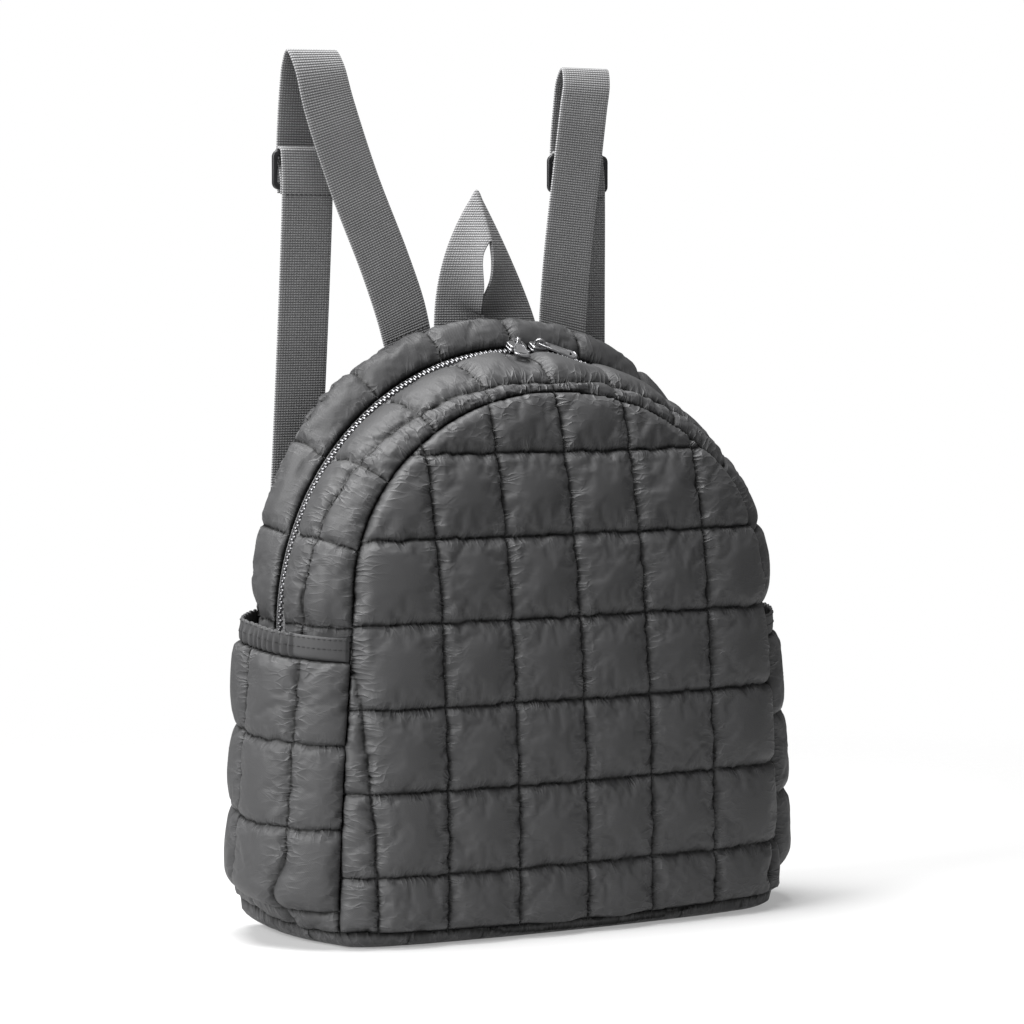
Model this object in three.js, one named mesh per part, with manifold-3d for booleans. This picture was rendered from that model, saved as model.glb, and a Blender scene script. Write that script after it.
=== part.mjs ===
// A small quilted backpack: padded panels sewn along an arch, a two-slider zip over the top,
// side pockets with gathered mouths, webbing straps with sliders and a folded carrying loop.
// Millimetres. X runs to the right, Y to the back and Z up; the bag stands on Z = 0.
import * as THREE from 'three';
import Module from 'manifold-3d';

const wasm = await Module();
wasm.setup();

// Quilting
const QUILT_PITCH = 48;
const FIRST_ROW = 41;
const PUFF = 6.5;
const FULL_CELL = 30;
const CELL_STEPS = 3;

// Cloth thickness along a stitch line, and the clearance between sewn neighbours
const WALL = 3;
const POCKET_WALL = 2.5;
const SIDE_WALL = 2;
const LAYER_GAP = 0.4;
const EDGE = 0.2;

// The three arched seams seen from the front: half width at the spring line and at the foot,
// height of the spring line and of the top, roundness of the arch (2 is an ellipse, more is fuller),
// and the depth Y at the foot and at the top.
const SEAMS = {
  front: { half: 146, foot: 157, spring: 200, top: 316, round: 2, footY: -51, topY: -41, lean: 4 },
  zip: { half: 166, foot: 166, spring: 180, top: 340, round: 2, footY: 0, topY: 0, lean: 1 },
  back: { half: 154, foot: 158, spring: 205, top: 352, round: 2.25, footY: 58, topY: 27, lean: 1 },
};
const HUB_Z = 175;

// Bellies of the front and the back, and how much of the front's belly is a rolled edge
const FRONT_BELLY = 23.5;
const FRONT_BELLY_FADE = 2.2;
const FRONT_ROLL_SHARE = 0.62;
const FRONT_ROLL_POWER = 12;
const BACK_BELLY = 6;

// Foot seam: height at the middle, rise at the corners, and the extra rise of the rear corners
const FOOT_Z = 8;
const FOOT_RISE = 2;
const FOOT_REAR_RISE = 10;
const FOOT_BOW = 6;
const BASE_ROLL = [{ inset: 0.15, lift: 0.4 }, { inset: 0.75, lift: 0 }];
const BASE_GROOVE = 1.8;
const BASE_CELL_FLAT = 16;

// Zip gusset: its lower ends, the stitch spacing along it, its fullness, and the zip's widths
const SIDE_TOP = 160;
const GUSSET_PITCH = 50;
const GUSSET_BOW = { front: { top: 5, side: 11 }, back: { top: 7, side: 4 } };
const ZIP_FRONT = 7;
const ZIP_BACK = 4;
const TEETH_HALF = 2.6;
const TAPE = { top: -1.2, bottom: -2.4 };
const TEETH = { top: 0.4, bottom: -2.6 };
const GUSSET_LINE = { side: 0.7, top: 0.12 };
const BACK_GUSSET_LINE = 0.82;

// Side pockets: panel height at the front and rear of the mouth, binding, and fullness
const POCKET = { frontTop: 164, rearTop: 175, rowPitch: 47.5, columns: [23, 72] };
const POCKET_BOW = { foot: 6, low: 31, mouth: 28, forward: 0.85, gape: 7, gapeAt: 0.8 };
const BINDING = { height: 14, thick: 2.4, gatherFrom: 0.4, gathers: 15, ripple: 0.9 };

// Webbing
const WEBBING = 1.6;
const WEBBING_WIDTH = 35;

const FINISHES = {
  quilt: { color: 0x48484a, roughness: 0.6, metalness: 0 },
  webbing: { color: 0x606062, roughness: 0.85, metalness: 0 },
  tape: { color: 0x414143, roughness: 0.8, metalness: 0 },
  teeth: { color: 0xb4b5b6, roughness: 0.35, metalness: 0.9 },
  nickel: { color: 0x8c8d90, roughness: 0.3, metalness: 1 },
  slider: { color: 0x1d1d1f, roughness: 0.4, metalness: 0 },
};

const vec = (x, y, z) => new THREE.Vector3(x, y, z);
const { clamp, lerp, smoothstep } = THREE.MathUtils;

const bag = new THREE.Group();
bag.name = 'quilted_backpack';

function addPiece(name, geometry, finish, parent = bag) {
  const mesh = new THREE.Mesh(geometry, new THREE.MeshStandardMaterial(FINISHES[finish]));
  mesh.name = name;
  parent.add(mesh);
  return mesh;
}

// A closed solid from shared corners and triangles, turned so that its faces point outwards.
function solidFrom(corners, triangles) {
  const cross = vec(0, 0, 0);
  let volume = 0;
  for (const [a, b, c] of triangles) {
    volume += corners[a].dot(cross.crossVectors(corners[b], corners[c]));
  }
  const outward = volume > 0 ? triangles : triangles.map(([a, b, c]) => [a, c, b]);
  const geometry = new THREE.BufferGeometry().setFromPoints(corners);
  geometry.setIndex(outward.flat());
  geometry.computeVertexNormals();
  return geometry;
}

// A triangle of plane points with the circle through its corners.
function circledTriangle(points, a, b, c) {
  const [ax, ay] = points[a];
  const [bx, by] = [points[b][0] - ax, points[b][1] - ay];
  const [cx, cy] = [points[c][0] - ax, points[c][1] - ay];
  const twice = 2 * (bx * cy - by * cx);
  const x = (cy * (bx * bx + by * by) - by * (cx * cx + cy * cy)) / twice;
  const y = (bx * (cx * cx + cy * cy) - cx * (bx * bx + by * by)) / twice;
  return { corners: [a, b, c], x: ax + x, y: ay + y, radius: Math.hypot(x, y) };
}

// Triangles over plane points, chosen so that no circle through a triangle holds another point.
// The first points, up to the size of the rim, are the outline that the triangles stay within.
function triangulate(points, rimSize) {
  const far = 1e6;
  const outline = points.slice(0, rimSize);
  const count = points.length;
  const all = [...points, [-far, -far], [far, -far], [0, far]];
  let triangles = [circledTriangle(all, count, count + 1, count + 2)];
  points.forEach(([px, py], index) => {
    const rim = new Map();
    const kept = [];
    for (const triangle of triangles) {
      if (Math.hypot(px - triangle.x, py - triangle.y) >= triangle.radius) {
        kept.push(triangle);
        continue;
      }
      const [a, b, c] = triangle.corners;
      for (const [from, to] of [[a, b], [b, c], [c, a]]) {
        if (!rim.delete(`${to} ${from}`)) rim.set(`${from} ${to}`, [from, to]);
      }
    }
    for (const [from, to] of rim.values()) kept.push(circledTriangle(all, from, to, index));
    triangles = kept;
  });
  const within = ([a, b, c]) => pointInside([
    (all[a][0] + all[b][0] + all[c][0]) / 3,
    (all[a][1] + all[b][1] + all[c][1]) / 3,
  ], outline);
  const own = triangles.map(({ corners }) => corners).filter((corners) => Math.max(...corners) < count);
  return own.filter(within);
}

function pointInside([x, y], outline) {
  let inside = false;
  outline.forEach(([ax, ay], index) => {
    const [bx, by] = outline[(index + 1) % outline.length];
    if ((ay > y) !== (by > y) && x < ax + ((y - ay) * (bx - ax)) / (by - ay)) inside = !inside;
  });
  return inside;
}

// A padded wall inside a closed seam. The ring's points are { p, into }; each face has its own
// inner points, given as { flat, p } with flat their place in the plane of the chart.
function paddedPanel(ring, chart, outside, inside, thickness) {
  const rim = ring.map(({ p }) => p);
  const inner = ring.map(({ p, into }) => p.clone().addScaledVector(into, thickness));
  const corners = [...rim, ...outside.map(({ p }) => p), ...inner, ...inside.map(({ p }) => p)];
  const base = rim.length + outside.length;
  const cover = (points) => triangulate([...rim.map(chart), ...points.map(({ flat }) => flat)], rim.length);
  const triangles = cover(outside);
  for (const [a, b, c] of cover(inside)) triangles.push([base + a, base + c, base + b]);
  const [first, second] = [chart(rim[0]), chart(rim[1])];
  const middle = chart(rim[Math.floor(rim.length / 2)]);
  const turn = (second[0] - first[0]) * (middle[1] - first[1])
    - (second[1] - first[1]) * (middle[0] - first[0]);
  rim.forEach((_, index) => {
    const next = (index + 1) % rim.length;
    const [i, j] = turn > 0 ? [index, next] : [next, index];
    // Sewn neighbours split the walls of a seam along the same diagonals.
    if (Math.abs(rim[i].x) < Math.abs(rim[j].x)) triangles.push([j, i, base + i], [j, base + i, base + j]);
    else triangles.push([j, i, base + j], [i, base + i, base + j]);
  });
  return solidFrom(corners, triangles);
}

// A padded wall over a grid of outer points and the matching grid of inner points.
function gridPanel(outer, inner) {
  const [rows, columns] = [outer.length, outer[0].length];
  const corners = [...outer.flat(), ...inner.flat()];
  const at = (layer, i, j) => (layer * rows + i) * columns + j;
  const triangles = [];
  const quad = (a, b, c, d) => triangles.push([a, b, c], [a, c, d]);
  for (let i = 0; i + 1 < rows; i += 1) {
    for (let j = 0; j + 1 < columns; j += 1) {
      quad(at(0, i, j), at(0, i + 1, j), at(0, i + 1, j + 1), at(0, i, j + 1));
      quad(at(1, i, j), at(1, i, j + 1), at(1, i + 1, j + 1), at(1, i + 1, j));
    }
    quad(at(0, i, 0), at(1, i, 0), at(1, i + 1, 0), at(0, i + 1, 0));
    const last = columns - 1;
    quad(at(0, i + 1, last), at(1, i + 1, last), at(1, i, last), at(0, i, last));
  }
  for (let j = 0; j + 1 < columns; j += 1) {
    quad(at(0, 0, j + 1), at(1, 0, j + 1), at(1, 0, j), at(0, 0, j));
    const last = rows - 1;
    quad(at(0, last, j), at(1, last, j), at(1, last, j + 1), at(0, last, j + 1));
  }
  return solidFrom(corners, triangles);
}

// Samples from the first line to the last, with how much the cloth swells there: none on a line.
function cellSamples(lines, steps) {
  const samples = [];
  for (let k = 0; k + 1 < lines.length; k += 1) {
    const width = lines[k + 1] - lines[k];
    for (let i = 0; i < steps; i += 1) {
      const share = i / steps;
      const swell = Math.sin(Math.PI * share) * Math.min(1, width / FULL_CELL);
      samples.push({ at: lines[k] + width * share, swell });
    }
  }
  samples.push({ at: lines[lines.length - 1], swell: 0 });
  return samples;
}

// Outline and depth of a seam at a height.
function halfWidth({ half, foot, spring, top, round }, z) {
  if (z < spring) return half + (foot - half) * Math.sin((Math.PI / 2) * (1 - z / spring));
  return half * Math.max(0, 1 - ((z - spring) / (top - spring)) ** round) ** (1 / round);
}

function seamDepth({ top, footY, topY, lean }, z) {
  return footY + (topY - footY) * (z / top) ** lean;
}

function seamPoint(seam, side, z) {
  return vec(side * halfWidth(seam, z), seamDepth(seam, z), z);
}

// The arched part of a seam, from the left end of the gusset over the top to its right end.
class ArchSeam extends THREE.Curve {
  constructor(seam) {
    super();
    this.seam = seam;
  }

  getPoint(t) {
    const { half, spring, top, round } = this.seam;
    const upright = spring - SIDE_TOP;
    const arch = (Math.PI / 2) * (half + top - spring);
    const along = t * (2 * upright + arch);
    if (along < upright) return seamPoint(this.seam, -1, SIDE_TOP + along);
    if (along > upright + arch) return seamPoint(this.seam, 1, SIDE_TOP + 2 * upright + arch - along);
    const turn = (Math.PI * (along - upright)) / arch;
    const z = spring + (top - spring) * Math.sin(turn) ** (2 / round);
    const x = -half * Math.sign(Math.cos(turn)) * Math.abs(Math.cos(turn)) ** (2 / round);
    return vec(x, seamDepth(this.seam, z), z);
  }
}

const ARCHES = {
  front: new ArchSeam(SEAMS.front),
  zip: new ArchSeam(SEAMS.zip),
  back: new ArchSeam(SEAMS.back),
};

// Directions into the bag from each face; a sewn edge is mitred along the sum of its faces.
const INTO = { front: vec(0, 1, 0), back: vec(0, -1, 0), base: vec(0, 0, 1) };

function intoSide(p) {
  return vec(-p.x, 0, Math.min(HUB_Z, p.z) - p.z).normalize();
}

function mitre(p, faces) {
  const into = intoSide(p);
  if (!faces.includes('side')) into.set(0, 0, 0);
  for (const face of faces) {
    if (face !== 'side') into.add(INTO[face]);
  }
  return into;
}

// Surfaces of the front and the back, along their stitch lines.
function frontDepth(x, z) {
  const seam = SEAMS.front;
  const across = clamp(Math.abs(x) / Math.max(1, halfWidth(seam, z)), 0, 1);
  const belly = FRONT_BELLY * (1 - (z / seam.top) ** FRONT_BELLY_FADE);
  const crown = (1 - FRONT_ROLL_SHARE) * (1 - across ** 2);
  const roll = FRONT_ROLL_SHARE * (1 - across ** FRONT_ROLL_POWER);
  return seamDepth(seam, z) - belly * (crown + roll);
}

function backDepth(x, z) {
  const seam = SEAMS.back;
  const across = clamp(Math.abs(x) / Math.max(1, halfWidth(seam, z)), 0, 1);
  return seamDepth(seam, z) + BACK_BELLY * (1 - (z / seam.top) ** 3) * (1 - across ** 6);
}

// Height of the foot seam: corner runs from 0 at the middle to 1, rear from 0 to 1.
function footHeight(corner, rear) {
  return FOOT_Z + FOOT_RISE * corner ** 2 + FOOT_REAR_RISE * rear ** 2 * corner ** 4;
}

function footCorner(name, side) {
  const z = footHeight(1, name === 'front' ? 0 : 1);
  return seamPoint(SEAMS[name], side, z);
}

// Foot seam points along the front or the back, from the right corner to the left one.
function footEdge(name) {
  const rear = name === 'front' ? 0 : 1;
  const depth = name === 'front' ? frontDepth : backDepth;
  const half = footCorner(name, 1).x;
  const steps = 20;
  const points = [];
  for (let k = 0; k <= steps; k += 1) {
    const corner = Math.cos((Math.PI * k) / steps);
    const z = footHeight(corner, rear);
    const p = vec(half * corner, depth(half * corner, z), z);
    const faces = k === 0 || k === steps ? [name, 'base', 'side'] : [name, 'base'];
    points.push({ p, into: mitre(p, faces) });
  }
  return points;
}

// Foot seam points along one side, from the front corner to the rear one.
function footSidePoint(side, share) {
  const p = footCorner('front', side).lerp(footCorner('back', side), share);
  p.x += side * FOOT_BOW * Math.sin(Math.PI * share);
  p.z = footHeight(1, share);
  return p;
}

// Stitch spacing along the gusset, measured along the zip and centred on the top.
function gussetSamples() {
  const length = ARCHES.zip.getLength();
  const lines = [0];
  const side = Math.floor(length / 2 / GUSSET_PITCH);
  for (let k = -side; k <= side; k += 1) lines.push(length / 2 + k * GUSSET_PITCH);
  lines.push(length);
  return cellSamples(lines, CELL_STEPS).map(({ at, swell }) => ({ u: at / length, swell }));
}

const GUSSET_SAMPLES = gussetSamples();

// A whole arched seam with its foot edge, as the ring of the front or the back panel.
function panelRing(name) {
  const seam = SEAMS[name];
  const footZ = footCorner(name, 1).z;
  const rows = 10;
  const sides = (side) => {
    const points = [];
    for (let k = 1; k < rows; k += 1) {
      const p = seamPoint(seam, side, lerp(footZ, SIDE_TOP, k / rows));
      points.push({ p, into: mitre(p, [name, 'side']) });
    }
    return points;
  };
  const arch = GUSSET_SAMPLES.map(({ u }) => {
    const p = ARCHES[name].getPointAt(u);
    return { p, into: mitre(p, [name, 'side']) };
  });
  return [...sides(-1), ...arch, ...sides(1).reverse(), ...footEdge(name)];
}

// Pull a ring in by the sewing clearance, within its own face.
function insetRing(ring, face, by) {
  return ring.map(({ p, into }) => {
    const inward = into.clone().sub(INTO[face]).normalize();
    return { p: p.clone().addScaledVector(inward, by), into };
  });
}

function distanceToRing([x, y], ring) {
  let nearest = Infinity;
  ring.forEach(([ax, ay], index) => {
    const [bx, by] = ring[(index + 1) % ring.length];
    const [dx, dy] = [bx - ax, by - ay];
    const share = clamp(((x - ax) * dx + (y - ay) * dy) / (dx * dx + dy * dy), 0, 1);
    nearest = Math.min(nearest, Math.hypot(x - ax - share * dx, y - ay - share * dy));
  });
  return nearest;
}

// A hair of scatter keeps four corners of a cell off one circle.
const scatter = (index) => 1e-3 * Math.sin(index * index);

// Front or back: puffed cells outside, a plain padded face inside.
function quiltedFace(name, depth) {
  const facing = name === 'front' ? 1 : -1;
  const chart = (p) => [facing * p.x, p.z];
  const ring = insetRing(panelRing(name), name, EDGE);
  const outline = ring.map(({ p }) => chart(p));
  const facePoints = (step, margin, place) => {
    const points = [];
    const reach = Math.ceil(SEAMS[name].foot / step);
    const top = Math.ceil((SEAMS[name].top - FIRST_ROW) / step);
    for (let i = -reach; i <= reach; i += 1) {
      for (let j = -3; j <= top; j += 1) {
        const [x, z] = [i * step, FIRST_ROW + j * step];
        const inside = Math.abs(x) < halfWidth(SEAMS[name], z) && z > FOOT_Z;
        const edge = inside ? distanceToRing([facing * x, z], outline) : 0;
        if (edge < margin) continue;
        const wobble = scatter(points.length);
        points.push({ flat: [facing * x + wobble, z - wobble], p: place(x, z, edge) });
      }
    }
    return points;
  };
  const swell = (value) => Math.abs(Math.sin((Math.PI * value) / QUILT_PITCH));
  const outside = facePoints(QUILT_PITCH / CELL_STEPS, 9, (x, z, edge) => {
    const rise = Math.sqrt(swell(x) * swell(z - FIRST_ROW)) * Math.min(1, edge / 14);
    return vec(x, depth(x, z) - facing * PUFF * rise, z);
  });
  const inside = facePoints(QUILT_PITCH, 16, (x, z) => vec(x, depth(x, z) + facing * WALL, z));
  return paddedPanel(ring, chart, outside, inside, WALL);
}

// Base: rolled edge, cells that lie flat on the floor and shallow stitch grooves between them.
function basePanel() {
  const sideSteps = 6;
  const side = (which) => {
    const points = [];
    for (let k = 1; k < sideSteps; k += 1) {
      const p = footSidePoint(which, k / sideSteps);
      points.push({ p, into: mitre(p, ['side', 'base']) });
    }
    return points;
  };
  const ring = insetRing(
    [...footEdge('front'), ...side(-1), ...footEdge('back').reverse(), ...side(1).reverse()],
    'base',
    2 * EDGE,
  );
  for (const { p } of ring) p.z -= LAYER_GAP;
  const chart = (p) => [-p.x, p.y];
  const outline = ring.map(({ p }) => chart(p));
  const outside = [];
  const addPoint = (x, y, z) => {
    const wobble = scatter(outside.length);
    outside.push({ flat: [-x + wobble, y - wobble], p: vec(x, y, z) });
  };
  for (const { inset, lift } of BASE_ROLL) {
    for (const { p, into } of ring) {
      const inward = vec(into.x, into.y, 0).normalize().multiplyScalar(inset * p.z);
      addPoint(p.x + inward.x, p.y + inward.y, p.z * lift);
    }
  }
  const ticks = [];
  for (let k = -4; k <= 4; k += 1) {
    const line = (k + 0.5) * QUILT_PITCH;
    ticks.push({ at: line - QUILT_PITCH / 2 + BASE_CELL_FLAT, groove: 0 });
    ticks.push({ at: line, groove: 1 });
    ticks.push({ at: line + QUILT_PITCH / 2 - BASE_CELL_FLAT, groove: 0 });
  }
  for (const x of ticks) {
    for (const y of ticks) {
      if (!pointInside([-x.at, y.at], outline)) continue;
      if (distanceToRing([-x.at, y.at], outline) < 18) continue;
      addPoint(x.at, y.at, Math.max(x.groove, y.groove) * BASE_GROOVE);
    }
  }
  const inside = [];
  for (const x of [-120, -80, -40, 0, 40, 80, 120]) {
    for (const y of [-40, 0, 35]) inside.push({ flat: [-x, y + scatter(x)], p: vec(x, y, WALL + 2) });
  }
  return paddedPanel(ring, chart, outside, inside, WALL);
}

// Directions at a point of the zip: along it, across it to the back, and out of the bag.
function zipFrame(u) {
  const tangent = ARCHES.zip.getTangentAt(u);
  const across = ARCHES.back.getPointAt(u).sub(ARCHES.front.getPointAt(u));
  across.addScaledVector(tangent, -across.dot(tangent)).normalize();
  const out = tangent.clone().cross(across).normalize();
  return { p: ARCHES.zip.getPointAt(u), tangent, across, out };
}

// How far the gusset's sewn edges are tucked in under the pocket's edge at a height.
function pocketTuck(name, z) {
  const rim = pocketTop(name === 'front' ? 0 : 1) + BINDING.height;
  return (POCKET_WALL + LAYER_GAP) * (1 - smoothstep(z, rim + 3, rim + 18));
}

function pocketTop(share) {
  return lerp(POCKET.frontTop, POCKET.rearTop, share);
}

// One quilted gusset strip, from a sewn seam to the zip.
function gussetStrip(name) {
  const zipSide = name === 'front' ? -ZIP_FRONT : ZIP_BACK;
  const outer = [];
  const inner = [];
  for (const { u, swell } of GUSSET_SAMPLES) {
    const zip = zipFrame(u);
    const seam = ARCHES[name].getPointAt(u);
    const into = mitre(seam, [name, 'side']);
    const edge = seam.clone().addScaledVector(into, pocketTuck(name, seam.z));
    const hem = zip.p.clone().addScaledVector(zip.across, zipSide);
    const reach = hem.clone().sub(edge);
    const width = reach.length();
    edge.addScaledVector(reach, EDGE / width);
    const out = reach.clone().cross(zip.tangent).normalize();
    if (out.dot(zip.out) < 0) out.negate();
    const away = Math.abs(2 * u - 1);
    const share = name === 'front' ? lerp(GUSSET_LINE.top, GUSSET_LINE.side, away) : 1 - BACK_GUSSET_LINE;
    const lines = [0, share * width, width];
    const bow = lerp(GUSSET_BOW[name].top, GUSSET_BOW[name].side, smoothstep(away, 0.2, 0.7));
    const pressed = clamp((seam.z - SIDE_TOP) / 40, 0.2, 1);
    const outerRow = [];
    const innerRow = [];
    for (const { at, swell: acrossSwell } of cellSamples(lines, 2)) {
      const v = at / width;
      const flat = edge.clone().lerp(hem, v);
      flat.addScaledVector(out, bow * 4 * v * (1 - v));
      const rise = PUFF * pressed * Math.sqrt(swell * acrossSwell);
      outerRow.push(flat.clone().addScaledVector(out, rise));
      const inward = v === 0 ? into : out.clone().negate();
      if (at === width) inward.copy(zip.out).negate();
      innerRow.push(flat.clone().addScaledVector(inward, WALL));
    }
    outer.push(outerRow);
    inner.push(innerRow);
  }
  return gridPanel(outer, inner);
}

// A solid swept through matching closed sections, capped at both ends.
function sweepSections(sections) {
  const size = sections[0].length;
  const corners = sections.flat();
  const triangles = [];
  for (let i = 0; i + 1 < sections.length; i += 1) {
    for (let k = 0; k < size; k += 1) {
      const [a, b] = [i * size + k, i * size + ((k + 1) % size)];
      triangles.push([a, b, b + size], [a, b + size, a + size]);
    }
  }
  const last = corners.length - size;
  for (let k = 1; k + 1 < size; k += 1) {
    triangles.push([0, k + 1, k], [last, last + k, last + k + 1]);
  }
  return solidFrom(corners, triangles);
}

// A strip along the zip between two offsets across it.
function zipStrip(from, to, { top, bottom }) {
  const sections = GUSSET_SAMPLES.map(({ u }) => {
    const { p, across, out } = zipFrame(u);
    const place = (a, n) => p.clone().addScaledVector(across, a).addScaledVector(out, n);
    return [place(from, bottom), place(to, bottom), place(to, top), place(from, top)];
  });
  return sweepSections(sections);
}

// A point of the pocket's surface along its stitch lines: share runs from the front to the back.
function pocketPoint(side, share, height) {
  const foot = footSidePoint(side, share);
  const z = lerp(foot.z, pocketTop(share), height);
  const p = seamPoint(SEAMS.front, side, z).lerp(seamPoint(SEAMS.back, side, z), share);
  const rise = smoothstep(height, 0, 0.16);
  const full = lerp(POCKET_BOW.foot, lerp(POCKET_BOW.low, POCKET_BOW.mouth, height ** 2), rise);
  const gape = POCKET_BOW.gape * Math.exp(-(((share - POCKET_BOW.gapeAt) / 0.16) ** 2));
  const wave = Math.sin(Math.PI * share ** POCKET_BOW.forward);
  p.x += side * (full * wave ** lerp(1, 0.75, rise) + gape * smoothstep(height, 0.55, 1) * wave ** 0.5);
  return height === 0 ? foot : p;
}

function pocketPanel(side) {
  const arc = 120;
  const columns = cellSamples([0, ...POCKET.columns, arc], CELL_STEPS);
  const top = POCKET.frontTop;
  const lowest = footHeight(1, 0);
  const lines = [top];
  while (lines[0] - POCKET.rowPitch > lowest + 4) lines.unshift(lines[0] - POCKET.rowPitch);
  const rows = cellSamples([lowest, ...lines], CELL_STEPS);
  const outer = [];
  const inner = [];
  for (const row of rows) {
    const height = (row.at - lowest) / (top - lowest);
    const outerRow = [];
    const innerRow = [];
    for (const column of columns) {
      const share = column.at / arc;
      const p = pocketPoint(side, share, height);
      const faces = ['side'];
      if (height === 0) faces.push('base');
      if (share === 0) faces.push('front');
      if (share === 1) faces.push('back');
      const into = mitre(p, faces);
      const hem = into.clone().sub(intoSide(p)).multiplyScalar(EDGE);
      p.add(hem);
      const rise = PUFF * Math.sqrt(row.swell * column.swell);
      outerRow.push(p.clone().addScaledVector(intoSide(p), -rise));
      innerRow.push(p.clone().addScaledVector(into, POCKET_WALL));
    }
    outer.push(outerRow);
    inner.push(innerRow);
  }
  return gridPanel(outer, inner);
}

// The mouth binding, smooth at the front and gathered over the rear of the pocket.
function pocketBinding(side) {
  const steps = 44;
  const sections = [];
  for (let k = 0; k <= steps; k += 1) {
    const share = lerp(0.01, 0.99, k / steps);
    const gathered = clamp((share - BINDING.gatherFrom) / 0.05, 0, 1);
    const ripple = gathered * BINDING.ripple * Math.sin(Math.PI * BINDING.gathers * 2 * share);
    const foot = pocketPoint(side, share, 1);
    const ends = Math.min(1, Math.min(share, 1 - share) / 0.03);
    const outward = intoSide(foot).negate();
    const place = (depth, rise) => {
      const p = foot.clone().addScaledVector(outward, depth);
      p.z += rise;
      return p;
    };
    const low = LAYER_GAP;
    const high = BINDING.height;
    const front = lerp(0.2, 1, ends) * 0.6 + ripple * ends;
    sections.push([
      place(front - BINDING.thick, low),
      place(front, low),
      place(front, high),
      place(front - BINDING.thick, high),
    ]);
  }
  return sweepSections(sections);
}

// Plain lower side behind a pocket.
function sidePanel(side) {
  const [columns, rows] = [6, 6];
  const outer = [];
  const inner = [];
  for (let j = 0; j <= rows; j += 1) {
    const outerRow = [];
    const innerRow = [];
    for (let i = 0; i <= columns; i += 1) {
      const share = i / columns;
      const foot = footSidePoint(side, share);
      const z = lerp(foot.z, SIDE_TOP - 0.3, j / rows);
      const p = seamPoint(SEAMS.front, side, z).lerp(seamPoint(SEAMS.back, side, z), share);
      p.x += side * Math.sin(Math.PI * share) * lerp(FOOT_BOW, 14, (j / rows) ** 3);
      const faces = ['side'];
      if (j === 0) faces.push('base');
      if (i === 0) faces.push('front');
      if (i === columns) faces.push('back');
      const into = mitre(p, faces);
      p.add(into.clone().sub(intoSide(p)).multiplyScalar(EDGE));
      outerRow.push(p.clone().addScaledVector(into, POCKET_WALL + LAYER_GAP));
      innerRow.push(p.clone().addScaledVector(into, POCKET_WALL + LAYER_GAP + SIDE_WALL));
    }
    outer.push(outerRow);
    inner.push(innerRow);
  }
  return gridPanel(outer, inner);
}

// Webbing between two edges, a list of { left, right } points.
function webbing(edges) {
  const sections = edges.map(({ left, right }, index) => {
    const before = edges[Math.max(0, index - 1)];
    const after = edges[Math.min(edges.length - 1, index + 1)];
    const along = after.left.clone().add(after.right).sub(before.left).sub(before.right);
    const normal = right.clone().sub(left).cross(along).setLength(WEBBING / 2);
    return [
      left.clone().sub(normal),
      right.clone().sub(normal),
      right.clone().add(normal),
      left.clone().add(normal),
    ];
  });
  return sweepSections(sections);
}

// Rows { y, lx, lz, rx, rz } of a strap's two edges, smoothed into a number of steps.
function smoothEdges(rows, steps) {
  const left = new THREE.CatmullRomCurve3(rows.map((row) => vec(row.lx, row.y, row.lz)), false, 'centripetal');
  const right = new THREE.CatmullRomCurve3(rows.map((row) => vec(row.rx, row.y, row.rz)), false, 'centripetal');
  const edges = [];
  for (let k = 0; k <= steps; k += 1) {
    edges.push({ left: left.getPoint(k / steps), right: right.getPoint(k / steps) });
  }
  return edges;
}

// Strap sliders: frame size, bars, and the height of the upper bar
const SLIDER = { width: 45, height: 23, bar: 3.4, thick: 2.4, cheek: 3.2, topZ: 458, y: 42.8 };
const STRAPS = {
  left: {
    hang: -121,
    drop: -118.8,
    foot: -121,
    upper: [
      { y: 28.4, lx: -73, lz: 342, rx: -40, rz: 351.4 },
      { y: 28.2, lx: -78.5, lz: 357, rx: -46, rz: 371 },
      { y: 28, lx: -90.1, lz: 386.2, rx: -57.9, rz: 399.8 },
      { y: 28, lx: -111, lz: 432, rx: -78.8, rz: 445 },
      { y: 28.6, lx: -129, lz: 480, rx: -95.4, rz: 489 },
      { y: 31, lx: -134.5, lz: 506, rx: -100.5, rz: 509 },
      { y: 36.5, lx: -136.5, lz: 516, rx: -102, rz: 516.4 },
    ],
  },
  right: {
    hang: 77.2,
    drop: 78.4,
    foot: 109,
    upper: [
      { y: 28.4, lx: 38.6, lz: 351.6, rx: 73, rz: 342 },
      { y: 28.2, lx: 39.4, lz: 366, rx: 74, rz: 361 },
      { y: 28, lx: 42.6, lz: 401.5, rx: 77.5, rz: 398.5 },
      { y: 28, lx: 48.6, lz: 446, rx: 83.5, rz: 443 },
      { y: 28.6, lx: 54.6, lz: 486, rx: 89.5, rz: 484 },
      { y: 31, lx: 58.6, lz: 502, rx: 93.5, rz: 501 },
      { y: 36.5, lx: 61, lz: 510.4, rx: 96, rz: 510.2 },
    ],
  },
};

const hanging = (x, y, z) => ({ y, lx: x - WEBBING_WIDTH / 2, lz: z, rx: x + WEBBING_WIDTH / 2, rz: z });

// From the top seam, over the fold and down behind the slider.
function upperStrap({ drop, upper }) {
  const foldZ = upper[upper.length - 1].lz;
  const down = [
    hanging(drop, 41.5, foldZ - 7),
    hanging(drop, 44.6, foldZ - 22),
    hanging(drop, 47.9, SLIDER.topZ + 4),
    hanging(drop, 47.9, SLIDER.topZ - 12),
    hanging(drop, 47, SLIDER.topZ - 25),
  ];
  return webbing(smoothEdges([...upper, ...down], 40));
}

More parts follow.
